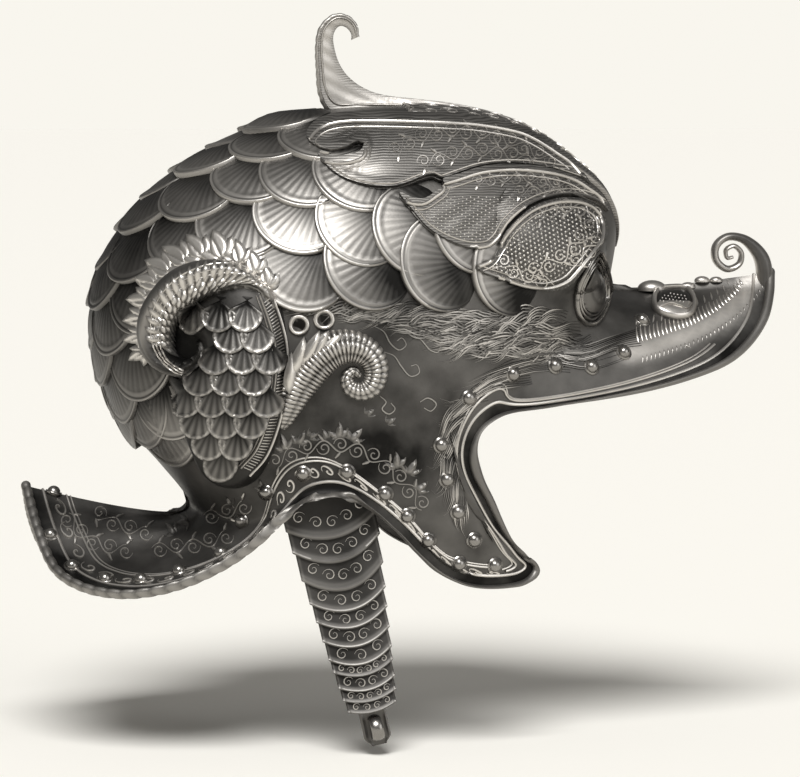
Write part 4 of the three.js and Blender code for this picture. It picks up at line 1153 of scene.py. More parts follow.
def leaf_plates():
    leaves, brow, ornament = Casting(), Casting(), Casting()
    dressed_plate(
        leaves, ornament, UPPER_LEAF, upper_height, leaf_tone, 0.6, UPPER_VINES, (15, 7.5, 0.5)
    )
    ground = dressed_plate(
        leaves, ornament, LOWER_LEAF, lower_height, leaf_tone, 0.6, LOWER_VINES, (13, 6, 0.48)
    )
    field = bead_field(LOWER_LEAF, 4.6, -28, 7)
    ornament.add(*beads(field[field[:, 1] > LOWER_BEADS_TOP], ground, 0.5, 0.35))
    leaves.piece("forehead_leaves", ENGRAVED_IRON, "iron", crease=45)
    ground = dressed_plate(
        brow, ornament, BROW_PLATE, brow_height, brow_tone, 1.0, BROW_VINES, (15, 7.5, 0.6)
    )
    ornament.add(*beads(bead_field(BROW_PLATE, 4.7, 24, 7), ground, 0.68, 0.5))
    ornament.piece("forehead_ornament", BRIGHT_IRON, "iron", crease=50)
    brow.piece("brow_bulges", STIPPLED_IRON, "iron", crease=45)


# The band over the forehead, under the leaves of the two sides: distance along it and half width
BAND_WIDTHS = [(0.0, 34), (0.2, 42), (0.5, 44), (0.72, 34), (0.88, 22), (1.0, 4)]
BAND_START_X, BAND_END_Z = -6.0, -66.0
# Vines on the band, seen from above, in millimetres
BAND_VINES = [
    [(4, 9), (26, 12), (50, 10), (74, 8), (92, 9)], [(0, 26), (22, 30), (46, 29), (70, 24), (90, 20)],
    [(106, 6), (120, 4)], [(100, 17), (116, 13)],
]


BAND_ROWS, BAND_COLUMNS = 90, 61
# Rays that find the metal under the band start this far out, and those for its vines this high
BAND_START_OUT, VINE_START_Z = 30, 60.0


def forehead_band():
    line, facing = outer[0], outer_normals[0]
    above_flare = np.arange(len(line)) <= BOWL_STEPS
    kept = (line[:, 0] > BAND_START_X) & (line[:, 2] > BAND_END_Z) & above_flare
    line, facing = line[kept], facing[kept]
    at, knots = np.linspace(0, len(line) - 1, BAND_ROWS), np.arange(len(line))
    middle, out = read_at(at, knots, line), unit(read_at(at, knots, facing))
    out[:, 1] = 0
    half = np.interp(np.linspace(0, 1, BAND_ROWS), *zip(*BAND_WIDTHS))
    v = np.linspace(-1, 1, BAND_COLUMNS)
    points, tones = [], []
    for k in range(BAND_ROWS):
        starts = middle[k] + out[k] * BAND_START_OUT + np.outer(v * half[k], [0, 1.0, 0])
        spots, normals = metal.dropped(starts, -out[k])
        rim = double_border((1 - np.abs(v)) * half[k], 1.0, 2.0, 1.3)
        at_border = (np.abs(v) == 1) | (k in (0, BAND_ROWS - 1))
        points.append(spots + normals * np.where(at_border, -0.5, 1.3 + 0.7 * rim)[:, None])
        tones.append(0.3 + 0.5 * rim)
    casting, ornament = Casting(), Casting()
    body = np.array(points).reshape(-1, 3), grid_faces(BAND_ROWS, BAND_COLUMNS), np.array(tones)
    casting.add(*body, both_sides=False)
    casting.piece("forehead_band", ENGRAVED_IRON, "iron", crease=50)
    ground = ground_of(body)
    for path in BAND_VINES:
        for curl in vine(path, 11, 5.5):
            starts = np.column_stack([curl, np.full(len(curl), VINE_START_Z)])
            places, facing = ground.dropped(starts, (0, 0, -1))
            if steps_along(places).max() < LONGEST_STEP:
                width = tapered(len(curl), 0.6, tip=0.55, root=0.45)
                ornament.add(*strand(places, facing, width, width, sides=4))
    ornament.piece("band_vines", BRIGHT_IRON, "iron")


# Rivets along the lining, laid out by Geometry Nodes
RIVETS = [
    (50.5, 535), (72, 566), (105, 579), (141, 579.7), (179, 571), (221, 553), (242, 521), (266, 492.4),
    (303, 473.7), (347, 472), (385, 494), (407, 516), (428, 540.4), (459, 563.7), (494.7, 565.3),
    (474, 540), (458, 512), (447, 479.6), (441.4, 445), (469, 398), (513, 374), (555, 365.7),
    (591.4, 367), (623.5, 352.4), (642, 320.3),
]
TAIL_RIVET_X = -151.0
RIVET_RADIUS = 3.4
COLLAR_SHARE, COLLAR_DEPTH = 1.22, 1.2
RIVET_TONE = 0.85
CAD_RIVET_PAIRS = 17


def rivet_tree(material):
    tree = bpy.data.node_groups.new("rivet_heads", "GeometryNodeTree")
    face = tree.interface
    face.new_socket("Geometry", in_out="INPUT", socket_type="NodeSocketGeometry")
    for size in ("Radius", "Collar"):
        face.new_socket(size, in_out="INPUT", socket_type="NodeSocketFloat")
    face.new_socket("Geometry", in_out="OUTPUT", socket_type="NodeSocketGeometry")

    def node(kind, values=(), **settings):
        made = tree.nodes.new(kind)
        for name, setting in settings.items():
            setattr(made, name, setting)
        for key, value in dict(values).items():
            if isinstance(value, bpy.types.NodeSocket):
                tree.links.new(value, made.inputs[key])
            else:
                made.inputs[key].default_value = value
        return made

    source = node("NodeGroupInput")
    dome = node(
        "GeometryNodeMeshUVSphere", {"Segments": 20, "Rings": 12, "Radius": source.outputs["Radius"]}
    )
    collar = node(
        "GeometryNodeMeshCylinder",
        {"Vertices": 24, "Radius": source.outputs["Collar"], "Depth": COLLAR_DEPTH * MM},
        fill_type="NGON",
    )
    both = node("GeometryNodeJoinGeometry")
    tree.links.new(dome.outputs["Mesh"], both.inputs[0])
    tree.links.new(collar.outputs["Mesh"], both.inputs[0])
    outward = node("GeometryNodeInputNamedAttribute", {"Name": "outward"}, data_type="FLOAT_VECTOR")
    facing = node(
        "FunctionNodeAlignRotationToVector", {"Vector": outward.outputs["Attribute"]}, axis="Z"
    )
    heads = node(
        "GeometryNodeInstanceOnPoints",
        {
            "Points": source.outputs["Geometry"],
            "Instance": both.outputs[0],
            "Rotation": facing.outputs[0],
        },
    )
    real = node("GeometryNodeRealizeInstances", {"Geometry": heads.outputs[0]})
    smooth = node("GeometryNodeSetShadeSmooth", {"Geometry": real.outputs[0]})
    painted = node("GeometryNodeSetMaterial", {"Geometry": smooth.outputs[0], "Material": material})
    result = node("NodeGroupOutput")
    tree.links.new(painted.outputs[0], result.inputs[0])
    return tree


def rivet_heads():
    points, normals = metal.seen_at(RIVETS)
    last = SIDE_COLUMNS - 1
    nearest = np.abs(outer[last, BOWL_STEPS:, 0] - TAIL_RIVET_X).argmin() + BOWL_STEPS
    tail, tail_normal = outer[last, nearest], outer_normals[last, nearest] * (1, 0, 1)
    places = np.vstack([points, points * MIRROR, tail])
    facing = unit(np.vstack([normals, normals * MIRROR, tail_normal]))
    mesh = bpy.data.meshes.new("rivet_places")
    mesh.from_pydata((places * MM).tolist(), [], [])
    layer = mesh.attributes.new("outward", "FLOAT_VECTOR", "POINT")
    layer.data.foreach_set("vector", facing.astype(np.float32).ravel())
    holder = bpy.data.objects.new("rivet_places", mesh)
    bpy.context.collection.objects.link(holder)
    modifier = holder.modifiers.new("heads", "NODES")
    tree = rivet_tree(BLACK_IRON)
    modifier.node_group = tree
    sizes = {"Radius": RIVET_RADIUS * MM, "Collar": RIVET_RADIUS * COLLAR_SHARE * MM}
    for item in tree.interface.items_tree:
        if item.in_out == "INPUT" and item.name in sizes:
            modifier[item.identifier] = sizes[item.name]
    finished = holder.evaluated_get(bpy.context.evaluated_depsgraph_get())
    mesh = bpy.data.meshes.new_from_object(finished)
    mesh.name = "rivet_heads"
    heads = bpy.data.objects.new("rivet_heads", mesh)
    bpy.context.collection.objects.link(heads)
    bpy.data.objects.remove(holder)
    tones = mesh.attributes.new("tone", "FLOAT", "POINT")
    tones.data.foreach_set("value", np.full(len(mesh.vertices), RIVET_TONE, np.float32))
    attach(heads, "root")
    numbers = range(1, CAD_RIVET_PAIRS + 1)
    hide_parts(*[f"rivet_{i:02d}_{side}" for i in numbers for side in ("right", "left")])


# Ornament that follows the edge. Fillets: first and last rib, way in from the edge, half width and height
EDGE_FILLETS = [
    (0, 38, 7.0, 0.9, 0.9), (19.2, 38, 19.0, 0.6, 0.7), (19.2, 38, 21.0, 0.45, 0.5),
    (3.2, 19.0, 13.5, 0.75, 0.9), (3.2, 19.0, 16.0, 0.5, 0.6),
]
# Scrolls between the fillets: first and last rib and the step, in ribs, then their way in from the edge,
# their reach along it in ribs and across it in millimetres, and their points
SCROLLS_FIRST, SCROLLS_LAST, SCROLL_STEP = 19.6, 37.6, 0.62
SCROLL_INSET, SCROLL_LONG, SCROLL_WIDE, SCROLL_POINTS = 13, 0.24, 3.6, 22
edge_table = np.concatenate([outer, outer_normals], axis=2)[:, ::-1]


def along_edge(rows, insets):
    """Points and normals of the right side at rib numbers, some way in from the edge."""
    rows = np.clip(np.asarray(rows, float), 0, LAST_ROW)
    insets = np.broadcast_to(np.asarray(insets, float), rows.shape)
    found = []
    for row, inset in zip(rows, insets):
        at = row / LAST_ROW * (SIDE_COLUMNS - 1)
        low = min(int(at), SIDE_COLUMNS - 2)
        here, there = (read_at(inset, edge_lengths[k], edge_table[k]) for k in (low, low + 1))
        found.append(here * (1 - at + low) + there * (at - low))
    found = np.array(found)
    return found[:, :3], unit(found[:, 3:])


def edge_lines():
    """Fillets that run beside the edge, and scrolls between them."""
    casting = Casting()
    for first, last, inset, half, height in EDGE_FILLETS:
        rows = np.linspace(first, last, int((last - first) * 9) + 2)
        casting.add(*strand(*along_edge(rows, inset), half, height))
    t = np.linspace(0, 1, SCROLL_POINTS)
    turn = t * 2.3 * math.pi
    curl = (1 - t) ** 0.7
    width = tapered(SCROLL_POINTS, 0.75, tip=0.6)
    for first in np.arange(SCROLLS_FIRST, SCROLLS_LAST, SCROLL_STEP):
        flip = 1 if int(round(first / SCROLL_STEP)) % 2 else -1
        rows = first + SCROLL_LONG * curl * np.cos(turn)
        insets = SCROLL_INSET + flip * SCROLL_WIDE * curl * np.sin(turn)
        casting.add(*strand(*along_edge(rows, insets), width, 0.75, sides=4))
    casting.piece("edge_lines", BRIGHT_IRON, "iron")


# The ear volute: a leaf rolled over a dark hollow, above a belly of small fans
VOLUTE_OUTLINE = [
    (279, 298), (265, 281), (252, 270), (237, 263), (215, 261), (193, 266), (174, 277), (159, 293),
    (150, 309), (146, 328), (147, 346), (151, 362), (160, 374), (171, 384), (175, 402), (180, 421),
    (187, 437), (195, 453), (205, 471), (221, 484), (240, 487), (258, 478), (272, 455), (281, 430),
    (288, 395), (290, 370), (288, 345), (284, 318),
]
VOLUTE_ROLL = [
    (276, 306, 2.5, 5), (262, 287, 8, 9), (240, 278, 15, 13), (213, 280, 19, 15), (186, 292, 20, 15.5),
    (168, 312, 18, 15), (163, 337, 15, 14), (170, 358, 11, 12), (186, 368, 8.5, 10), (200, 363, 7, 8),
    (206, 352, 5, 6), (203, 343, 3, 4),
]
VOLUTE_HOLLOW = (187, 350)
VOLUTE_BELLY = (238, 385, 56, 112)
volute_path = smooth_path(VOLUTE_ROLL, 240)


def beside_path(spots, path):
    """Distance to a path, which side of it, and how far along, for spots in pixels."""
    away = spots[:, None, :] - path[None, :, :2]
    squared = (away**2).sum(-1)
    nearest = squared.argmin(1)
    ahead = np.gradient(path[:, :2], axis=0)[nearest]
    offset = away[np.arange(len(spots)), nearest]
    side = np.sign(ahead[:, 0] * offset[:, 1] - ahead[:, 1] * offset[:, 0])
    return np.sqrt(squared[np.arange(len(spots)), nearest]), side, nearest


def volute_heights(spots, border):
    distance, side, nearest = beside_path(spots, volute_path)
    half, full = volute_path[nearest, 2], volute_path[nearest, 3]
    across = np.clip(distance / half, 0, 1)
    along = nearest / (len(volute_path) - 1)
    roll = full * np.sqrt(1 - across**2)
    veins = np.cos(across * side * 8) * 0.8 * (across < 0.95)
    inner = smoothstep(0.15, 0.6, across * -side)
    ruffles = np.cos(along * 150) * 1.1 * inner * smoothstep(0.08, 0.3, along)
    roll = np.where(across < 1, roll + veins + ruffles * (across < 0.95), 0)
    x, y, wide, tall = VOLUTE_BELLY
    inside = 1 - ((spots[:, 0] - x) / wide) ** 2 - ((spots[:, 1] - y) / tall) ** 2
    belly = 12.5 * np.sqrt(np.clip(inside, 0, 1))
    from_hollow = np.linalg.norm(spots - VOLUTE_HOLLOW, axis=1)
    belly = belly * smoothstep(12, 34, from_hollow)
    body = np.maximum(roll, belly)
    return body * smoothstep(-1.5, 5, border) + 0.6 + 1.2 * smoothstep(0, 1.2, border)


def volute_tones(spots, border):
    distance, side, nearest = beside_path(spots, volute_path)
    across = distance / volute_path[nearest, 2]
    on_roll = 1 - smoothstep(0.75, 1.05, across)
    from_hollow = np.linalg.norm(spots - VOLUTE_HOLLOW, axis=1)
    veins = 0.25 * np.cos(across * side * 8) * (across < 0.95)
    # Painted shade: the hollow under the roll is dark.
    return (0.12 + (0.45 + veins) * on_roll) * smoothstep(14, 30, from_hollow)


def petal(root, tip, half, bend=0.0):
    """Outline of a pointed leaf lobe between two pixels."""
    root, tip = np.array(root, float), np.array(tip, float)
    along = tip - root
    aside = square_to(along) / max(np.linalg.norm(along), 1e-6)
    shares = np.linspace(0, 1, 7)[:-1]
    width = half * np.sin(math.pi * shares**0.75) ** 0.8
    shift = bend * np.sin(math.pi * shares / 2) ** 2
    near, far = (
        root + shares[:, None] * along + ((sign * width + shift)[:, None]) * aside for sign in (1, -1)
    )
    return np.vstack([near, tip + aside * bend, far[::-1][:-1]])


# Each leaf tip round the roll: root and tip, in pixels
VOLUTE_TIPS = [
    (268, 292, 264, 270), (256, 279, 250, 256), (242, 269, 236, 246), (226, 264, 214, 238),
    (208, 263, 190, 243), (192, 268, 168, 255), (177, 277, 152, 268), (165, 288, 142, 284),
    (156, 302, 135, 303), (151, 318, 132, 323), (149, 334, 133, 342), (151, 350, 138, 360),
]
# Fans of the belly, in pixels: length, half width, lean and spacing, and where their grid starts
FAN_LENGTH, FAN_HALF, FAN_LEAN, FAN_STEP = 36, 17, -4.0, 25
BELLY_MIDDLE, BELLY_TOP = 236, 276
VOLUTE_BAND = [
    (268, 292), (278, 320), (284, 345), (285, 372), (282, 398), (275, 428), (264, 455), (248, 474),
]


def ear_volutes():
    casting = Casting()
    body = relief_plate(
        VOLUTE_OUTLINE, volute_heights, volute_tones, bowl_ground, spacing=1.7, base=0.0
    )
    casting.add(*body)
    nodes = ["ear_volute_right", "ear_volute_left"]
    casting.piece("ear_volutes", IRON, "iron", nodes, crease=50)
    return body


# Lobes of a leaf: turn from its midrib and share of its length
LEAF_LOBES = ((-82, 0.5), (82, 0.5), (-42, 0.78), (42, 0.78), (0, 1.0))


def acanthus(casting, root, tip, ground, lift, width=0.3, bright=1.0):
    """A leaf of five pointed lobes, each with a midrib."""
    root, tip = np.array(root, float), np.array(tip, float)
    along = tip - root
    for turn, share in LEAF_LOBES:
        way = turned(along, turn) * share
        start = root + along * 0.3 * (1 - share)
        length = np.linalg.norm(way)
        aside = square_to(way) / length
        outline = petal(start, start + way, length * width, bend=math.copysign(0.12, turn) * length)

        def midrib(spots, start=start, aside=aside):
            return np.exp(-((np.abs((spots - start) @ aside) / 0.9) ** 2))

        def lobe_height(spots, border, midrib=midrib):
            return 1.2 * smoothstep(0, 1.8, border) - 0.5 * midrib(spots)

        def lobe_tone(spots, border, midrib=midrib):
            return bright * (0.35 + 0.65 * smoothstep(0.2, 1.5, border) - 0.4 * midrib(spots))

        casting.add(
            *relief_plate(
                outline, lobe_height, lobe_tone, ground, 1.6, lift + 0.5 * share, smooth=False
            )
        )


def volute_leaves(body):
    """Leaf tips that stand out round the roll, and the folds that run from its ridge into the hollow."""
    casting = Casting()
    ground = ground_of(body)
    for x1, y1, x2, y2 in VOLUTE_TIPS:
        tip = (x2 + (x2 - x1) * 0.15, y2 + (y2 - y1) * 0.15)
        acanthus(casting, (x1, y1), tip, metal, 3.4, width=0.33)
    last = len(volute_path) - 1
    for share in np.linspace(0.06, 0.7, 22):
        at = int(share * last)
        ridge, half = volute_path[at, :2], volute_path[at, 2]
        ahead = unit(volute_path[at + 1, :2] - ridge)
        inward = -square_to(ahead)
        if (VOLUTE_HOLLOW - ridge) @ inward < 0:
            inward = -inward
        root = ridge - inward * half * 0.5 - ahead * 10
        tip = ridge + inward * half * 1.05 + ahead * 13
        outer_tip = ridge - inward * half * 0.98 - ahead * 16
        inner_leaf = petal(root, tip, 3.8, bend=4.0)
        outer_leaf = petal(ridge, outer_tip, 4.6, bend=-4.0)
        for leaf, height in ((inner_leaf, 1.1), (outer_leaf, 0.8)):
            casting.add(*plain_leaf(leaf, ground, (height, 1.8), (0.2, 0.7, 0.2, 1.6), 1.4, 0.3))
    line = volute_path[6:200]
    outward = square_to(unit(np.gradient(line[:, :2], axis=0)))
    outward = outward * np.sign(((line[:, :2] - VOLUTE_HOLLOW) * outward).sum(1))[:, None]
    for offset in (-0.8, -0.55, -0.3):
        raise_line(casting, ground, line[:, :2] - outward * offset * line[:, 2:3], 0.55, 0.8)
    casting.piece("volute_leaves", BRIGHT_IRON, "iron", crease=50)


def belly_places():
    """Roots of the belly's fans, staggered row by row."""
    places = []
    outline = smooth_path(VOLUTE_OUTLINE, 120, closed=True)
    band = smooth_path(VOLUTE_BAND, 60)
    for row in range(9):
        y = BELLY_TOP + row * FAN_STEP * 0.84
        for column in range(-5, 5):
            x = BELLY_MIDDLE + (column + 0.5 * (row % 2)) * FAN_STEP * 1.04 - row * 1.5
            middle = np.array([[x - 2, y + FAN_LENGTH * 0.55]])
            if not inside_outline(middle, outline)[0] or border_distance(middle, outline)[0] < 7:
                continue
            roll = (np.linalg.norm(volute_path[:, :2] - middle, axis=1) - volute_path[:, 2]).min()
            beside = np.linalg.norm(band - middle, axis=1).min()
            if roll > 4 and beside > 15:
                places.append(np.array([x, y]))
    return places


def on_fan(spots, root):
    """Bearing of pixels about a fan's root, and how far along the fan they are."""
    away = spots - root
    reach = np.clip(np.linalg.norm(away, axis=1) / FAN_LENGTH, 0, 1)
    return np.arctan2(away[:, 0], away[:, 1]), reach


def belly_fans(body):
    ground = ground_of(body)
    casting = Casting()
    turn = np.linspace(-1, 1, 21) * math.radians(100)
    for root in belly_places():
        tip = root + (FAN_LEAN, FAN_LENGTH)
        middle = root + (tip - root) * 0.5
        ahead = unit(tip - root)
        beside = square_to(ahead)
        lobe = middle + np.outer(np.cos(turn), ahead) * FAN_LENGTH * 0.5
        lobe = lobe + np.outer(np.sin(turn), beside) * FAN_HALF
        outline = np.vstack([lobe, root - beside * 5, root + beside * 5])

        def fan_height(spots, border, root=root):
            angle, reach = on_fan(spots, root)
            flutes = np.cos(angle * 24) * 0.22 * smoothstep(1.2, 2.4, border)
            return 2.0 * reach + flutes + double_border(border, 0.6, 0.8, 0.5)

        def fan_tone(spots, border, root=root):
            angle, reach = on_fan(spots, root)
            face = 0.2 + 0.12 * np.cos(angle * 24) + 0.6 * double_border(border, 0.8, 0.9, 0.5)
            # Painted shade: each fan darkens toward its root, where the row above overlaps it.
            return face * smoothstep(0.2, 0.9, reach)

        casting.add(*relief_plate(outline, fan_height, fan_tone, ground, 1.7, 0.2, smooth=False))
    band = smooth_path(VOLUTE_BAND, 120)
    ahead = unit(np.gradient(band, axis=0))
    beside = square_to(ahead)
    for offset, half in ((-2.5, 0.7), (9.0, 0.55), (12.5, 0.4)):
        raise_line(casting, ground, band + beside * offset, half, 0.8)
    out, on = np.linspace(0.5, 7.5, 5), np.linspace(0, 2.5, 5)
    for i in range(4, 118, 2):
        notch = band[i] + np.outer(out, beside[i]) + np.outer(on, ahead[i])
        raise_line(casting, ground, notch, 0.32, 0.4, sides=4)
    casting.piece("belly_fans", BRIGHT_IRON, "iron", crease=50)


# The gill horn: three bands of ribs round a coil
HORN = [
    (281, 428, 7, 3), (289, 405, 14, 7), (298, 384, 19, 10), (313, 363, 21, 11.5), (332, 349, 19, 11),
    (352, 346, 16.5, 10), (369, 354, 14.5, 9), (376, 369, 12.5, 8), (372, 385, 11, 7),
    (361, 391, 9.5, 6), (350, 387, 8, 5.2), (347, 377, 6.5, 4.5), (354, 371, 5, 3.6), (360, 376, 3, 2.6),
]
HORN_SIDES, HORN_RIB = 33, 2.2
# Leaves behind the horn: root and tip in pixels, half width and bend
GILL_LEAVES = [
    ((296, 374), (300, 336), 7, 5), ((304, 366), (316, 329), 7, 4), ((312, 360), (331, 332), 6, -3),
    ((291, 392), (288, 352), 6, 5), ((318, 356), (344, 336), 5, -3),
]


def gill_horns():
    count = 300
    path = smooth_path(HORN, count)
    places, facing = bowl_ground.seen_at(path[:, :2])
    facing = unit(facing * 0.3 + facing.mean(0))
    ahead = unit(np.gradient(places, axis=0))
    aside = unit(np.cross(facing, ahead))
    half, full = path[:, 2:3] * MM_PER_PIXEL, path[:, 3:4]
    angles = np.linspace(0, math.pi, HORN_SIDES)
    travelled = lengths_along(places)[:, None]
    ribs = np.abs(np.sin(travelled * math.pi / HORN_RIB + 0.9 * np.cos(angles))) ** 0.7
    bands = np.abs(np.sin(angles * 3)) ** 0.4
    swell = 1 - 0.1 * (1 - ribs) - 0.2 * (1 - bands)
    ends = smoothstep(0, 0.04, np.linspace(0, 1, count))[:, None]
    swell = np.where(ends < 1, swell * (0.7 + 0.3 * ends), swell)
    across, up = half * np.cos(angles) * swell, full * np.sin(angles) ** 0.85 * swell
    corners = (half * np.array([-0.9, 0.9]))[..., None]
    bottom = places[:, None] - facing[:, None] * 0.5 + aside[:, None] * corners
    ring = np.concatenate([rings_round(places, aside, facing, across, up), bottom], axis=1)
    tones = np.concatenate([0.08 + 0.72 * ribs * bands, np.full((count, 2), 0.05)], axis=1)
    casting = Casting()
    casting.add(ring, tube_faces(count, HORN_SIDES + 2), tones)
    for root, tip, width, bend in GILL_LEAVES:
        leaf = petal(root, tip, width, bend=bend)
        casting.add(*plain_leaf(leaf, bowl_ground, (1.4, 3), (0.4, 0.6, 0, 2), 1.3, 9.2))
    nodes = ["gill_horn_right", "gill_horn_left"]
    casting.piece("gill_horns", BRIGHT_IRON, "iron", nodes, crease=50)


# Eyes and nostrils
EYE_OUTLINE = [
    (598, 252), (604, 266), (608, 284), (607.5, 300), (603, 314), (595, 324), (586, 324), (578, 316),
    (575, 303), (577, 287), (584, 270), (591, 258),
]
# Middle and half sizes of the eyeball and its iris, and each lid's share of the outline, half width and
# height
EYEBALL, EYEBALL_SIZE = (593.0, 292.0), (11.0, 24.0)
IRIS, IRIS_SIZE = (595.0, 288.0), (6.0, 11.0)
EYELIDS = ((1.0, 1.1, 2.6), (0.84, 0.8, 2.2), (0.7, 0.7, 1.8))


def shrunk(outline, share):
    outline = np.asarray(outline, float)
    middle = outline.mean(0)
    return middle + (outline - middle) * share


def eyes():
    casting = Casting()

    def ball(spots, border):
        away = (spots - EYEBALL) / EYEBALL_SIZE
        return 3.2 * np.sqrt(np.clip(1 - (away**2).sum(1), 0, 1))

    def iris(spots, border):
        away = np.linalg.norm((spots - IRIS) / IRIS_SIZE, axis=1)
        return 0.4 - 0.4 * np.exp(-((away / 0.7) ** 2)) - 0.2 * np.exp(-(((away - 1.4) / 0.18) ** 2))

    casting.add(*relief_plate(shrunk(EYE_OUTLINE, 0.62), ball, iris, metal, 1.3, 0.4))
    for share, half, height in EYELIDS:
        line = smooth_path(shrunk(EYE_OUTLINE, share), 90, closed=True)
        raise_line(casting, metal, line, half, height, sides=7, closed=True)
    casting.piece("eyes", BLACK_IRON, "dark_iron", ["eye_right", "eye_left"])


NOSTRIL = [
    (654, 309), (654, 297), (661, 290), (672, 288), (684, 289), (692, 295), (695, 306), (690, 316),
    (678, 319), (664, 316),
]
NOSTRIL_LIP = [(656, 313), (662, 306), (670, 303), (679, 305), (687, 308), (692, 303)]
# The nostril is painted dark as shade in its opening above the first line of pixels, and beaded above the
# second
NOSTRIL_SHADE_LINE, NOSTRIL_BEADS = 305, 302


def nostrils():
    casting = Casting()

    def flesh(spots, border):
        return 2.6 * smoothstep(0, 4, border) ** 0.6

    def flesh_tone(spots, border):
        # Painted shade fills the opening above the line; below it the flesh is bright.
        return np.where(spots[:, 1] < NOSTRIL_SHADE_LINE, 0.08, 0.95)

    body = relief_plate(NOSTRIL, flesh, flesh_tone, metal, 1.4, 0.2)
    casting.add(*body)
    ground = ground_of(body)
    line = smooth_path(shrunk(NOSTRIL, 0.96), 80, closed=True)
    raise_line(casting, metal, line, 1.5, 3.4, sides=7, closed=True)
    lay(casting, [smooth_path(NOSTRIL_LIP, 26)], ground, 1.0)
    pit = bead_field(shrunk(NOSTRIL, 0.8), 3.6, 10, 1.5)
    casting.add(*beads(pit[pit[:, 1] < NOSTRIL_BEADS], ground, 0.5, 0.5))
    casting.piece("nostrils", BRIGHT_IRON, "iron", crease=50)


# Lines of the snout, tufts of the brow and tendrils of the cheek
LONGEST_WRINKLE_STEP = 3.5
WRINKLE_POINTS = 8


def snout_wrinkles():
    casting = Casting()
    belt = smooth_path(SNOUT_BELT, 76)
    ahead = unit(np.gradient(belt, axis=0))
    aside = -square_to(ahead)
    t = np.linspace(0, 1, WRINKLE_POINTS)[:, None]

    def wrinkle(line, half, shade):
        places, facing = metal.seen_at(line)
        if steps_along(places).max() < LONGEST_WRINKLE_STEP:
            width = tapered(WRINKLE_POINTS, half)
            casting.add(*strand(places, facing, width, width, shade=shade))

    for i in range(5, 68, 2):
        reach = (16 - 9 * i / 76) * RANDOM.uniform(0.85, 1.1)
        start = belt[i] + aside[i] * 7
        wrinkle(start + aside[i] * t * reach + ahead[i] * (4 * t**2 - 2 * t), 0.8, 1.0)
        if i % 4 == 1:
            wrinkle(start + aside[i] * (reach + 2 + t * 7) + ahead[i] * (2 + 3 * t), 0.6, 0.8)
        wrinkle(belt[i] - aside[i] * (7 + t * (7 - 3 * i / 76)) - ahead[i] * 2 * t**2, 0.5, 0.5)
    casting.piece("snout_wrinkles", BRIGHT_IRON, "iron")


# Locks of hair below the scales: lines of roots, in pixels
LOCK_ROWS = [
    [(566, 318), (520, 314), (470, 315), (430, 311), (390, 308), (350, 305), (312, 300)],
    [(580, 328), (530, 326), (480, 326), (440, 321), (400, 317), (362, 311)],
    [(592, 340), (545, 338), (500, 338), (455, 332), (418, 325)],
    [(592, 352), (545, 350), (500, 348), (462, 343)],
]
# Longer locks beside the face opening, from root to curled tip
FACE_LOCKS = [
    [(640, 338), (610, 344), (585, 352), (562, 352), (540, 345), (528, 350)],
    [(622, 352), (590, 360), (560, 358), (530, 358), (505, 366), (492, 360)],
    [(600, 350), (560, 345), (520, 352), (488, 366), (468, 376), (452, 378), (444, 371)],
    [(570, 364), (526, 366), (492, 377), (468, 389), (450, 391), (438, 384)],
    [(530, 374), (494, 383), (470, 396), (452, 403), (440, 401), (435, 395)],
    [(484, 392), (464, 404), (449, 416), (440, 424), (431, 421)],
    [(468, 402), (453, 418), (443, 436), (435, 448), (427, 445)],
    [(458, 420), (447, 440), (440, 460), (433, 470), (426, 466)],
    [(452, 446), (447, 466), (443, 484), (437, 495), (430, 491)],
    [(454, 470), (451, 488), (449, 504), (445, 516), (438, 512)],
    [(460, 496), (459, 512), (462, 526), (466, 538)],
]

# Points of a lock's middle line and of one hair
LOCK_POINTS, HAIR_POINTS = 17, 10


def tufts():
    casting = Casting()
    t = np.linspace(0, 1, LOCK_POINTS)[:, None]
    locks = []
    for row in LOCK_ROWS:
        line = smooth_path(row, 60)
        for i in range(0, 58, 3):
            x, y = line[i]
            drop, bend = RANDOM.uniform(4, 15), RANDOM.uniform(-5, 5)
            path = [(x, y), (x - 16, y + bend), (x - 32, y + drop * 0.5 - bend), (x - 50, y + drop)]
            locks.append((path, 11, 5))
    locks += [(path, 17, 9) for path in FACE_LOCKS]
    for path, spread, count in locks:
        line = smooth_path(path, LOCK_POINTS)
        aside = square_to(unit(np.gradient(line, axis=0)))
        phase = RANDOM.uniform(0, 6)
        for lock in np.linspace(-1, 1, count):
            reach = 1 - 0.25 * abs(lock) + RANDOM.uniform(-0.08, 0.08)
            sway = 1.6 * np.sin(2.3 * math.pi * t + phase + lock)
            offset = lock * spread / 2 * (1 - 0.6 * t**1.5) + sway
            whole = line + aside * offset
            hair = smooth_path(whole[: max(int(LOCK_POINTS * reach), 6)], HAIR_POINTS)
            places, facing = metal.seen_at(hair)
            if steps_along(places).max() > LONGEST_STEP:
                continue
            width = tapered(HAIR_POINTS, RANDOM.uniform(0.35, 0.7), tip=0.1, root=0.3, peak=0.5)
            shade = tapered(HAIR_POINTS, RANDOM.uniform(0.15, 1.0), tip=0.5, root=0.05, peak=0.6)
            casting.add(*strand(places, facing, width, width * 1.8, sides=4, sunk=0.2, shade=shade))
    casting.piece("tufts", BRIGHT_IRON, "iron")


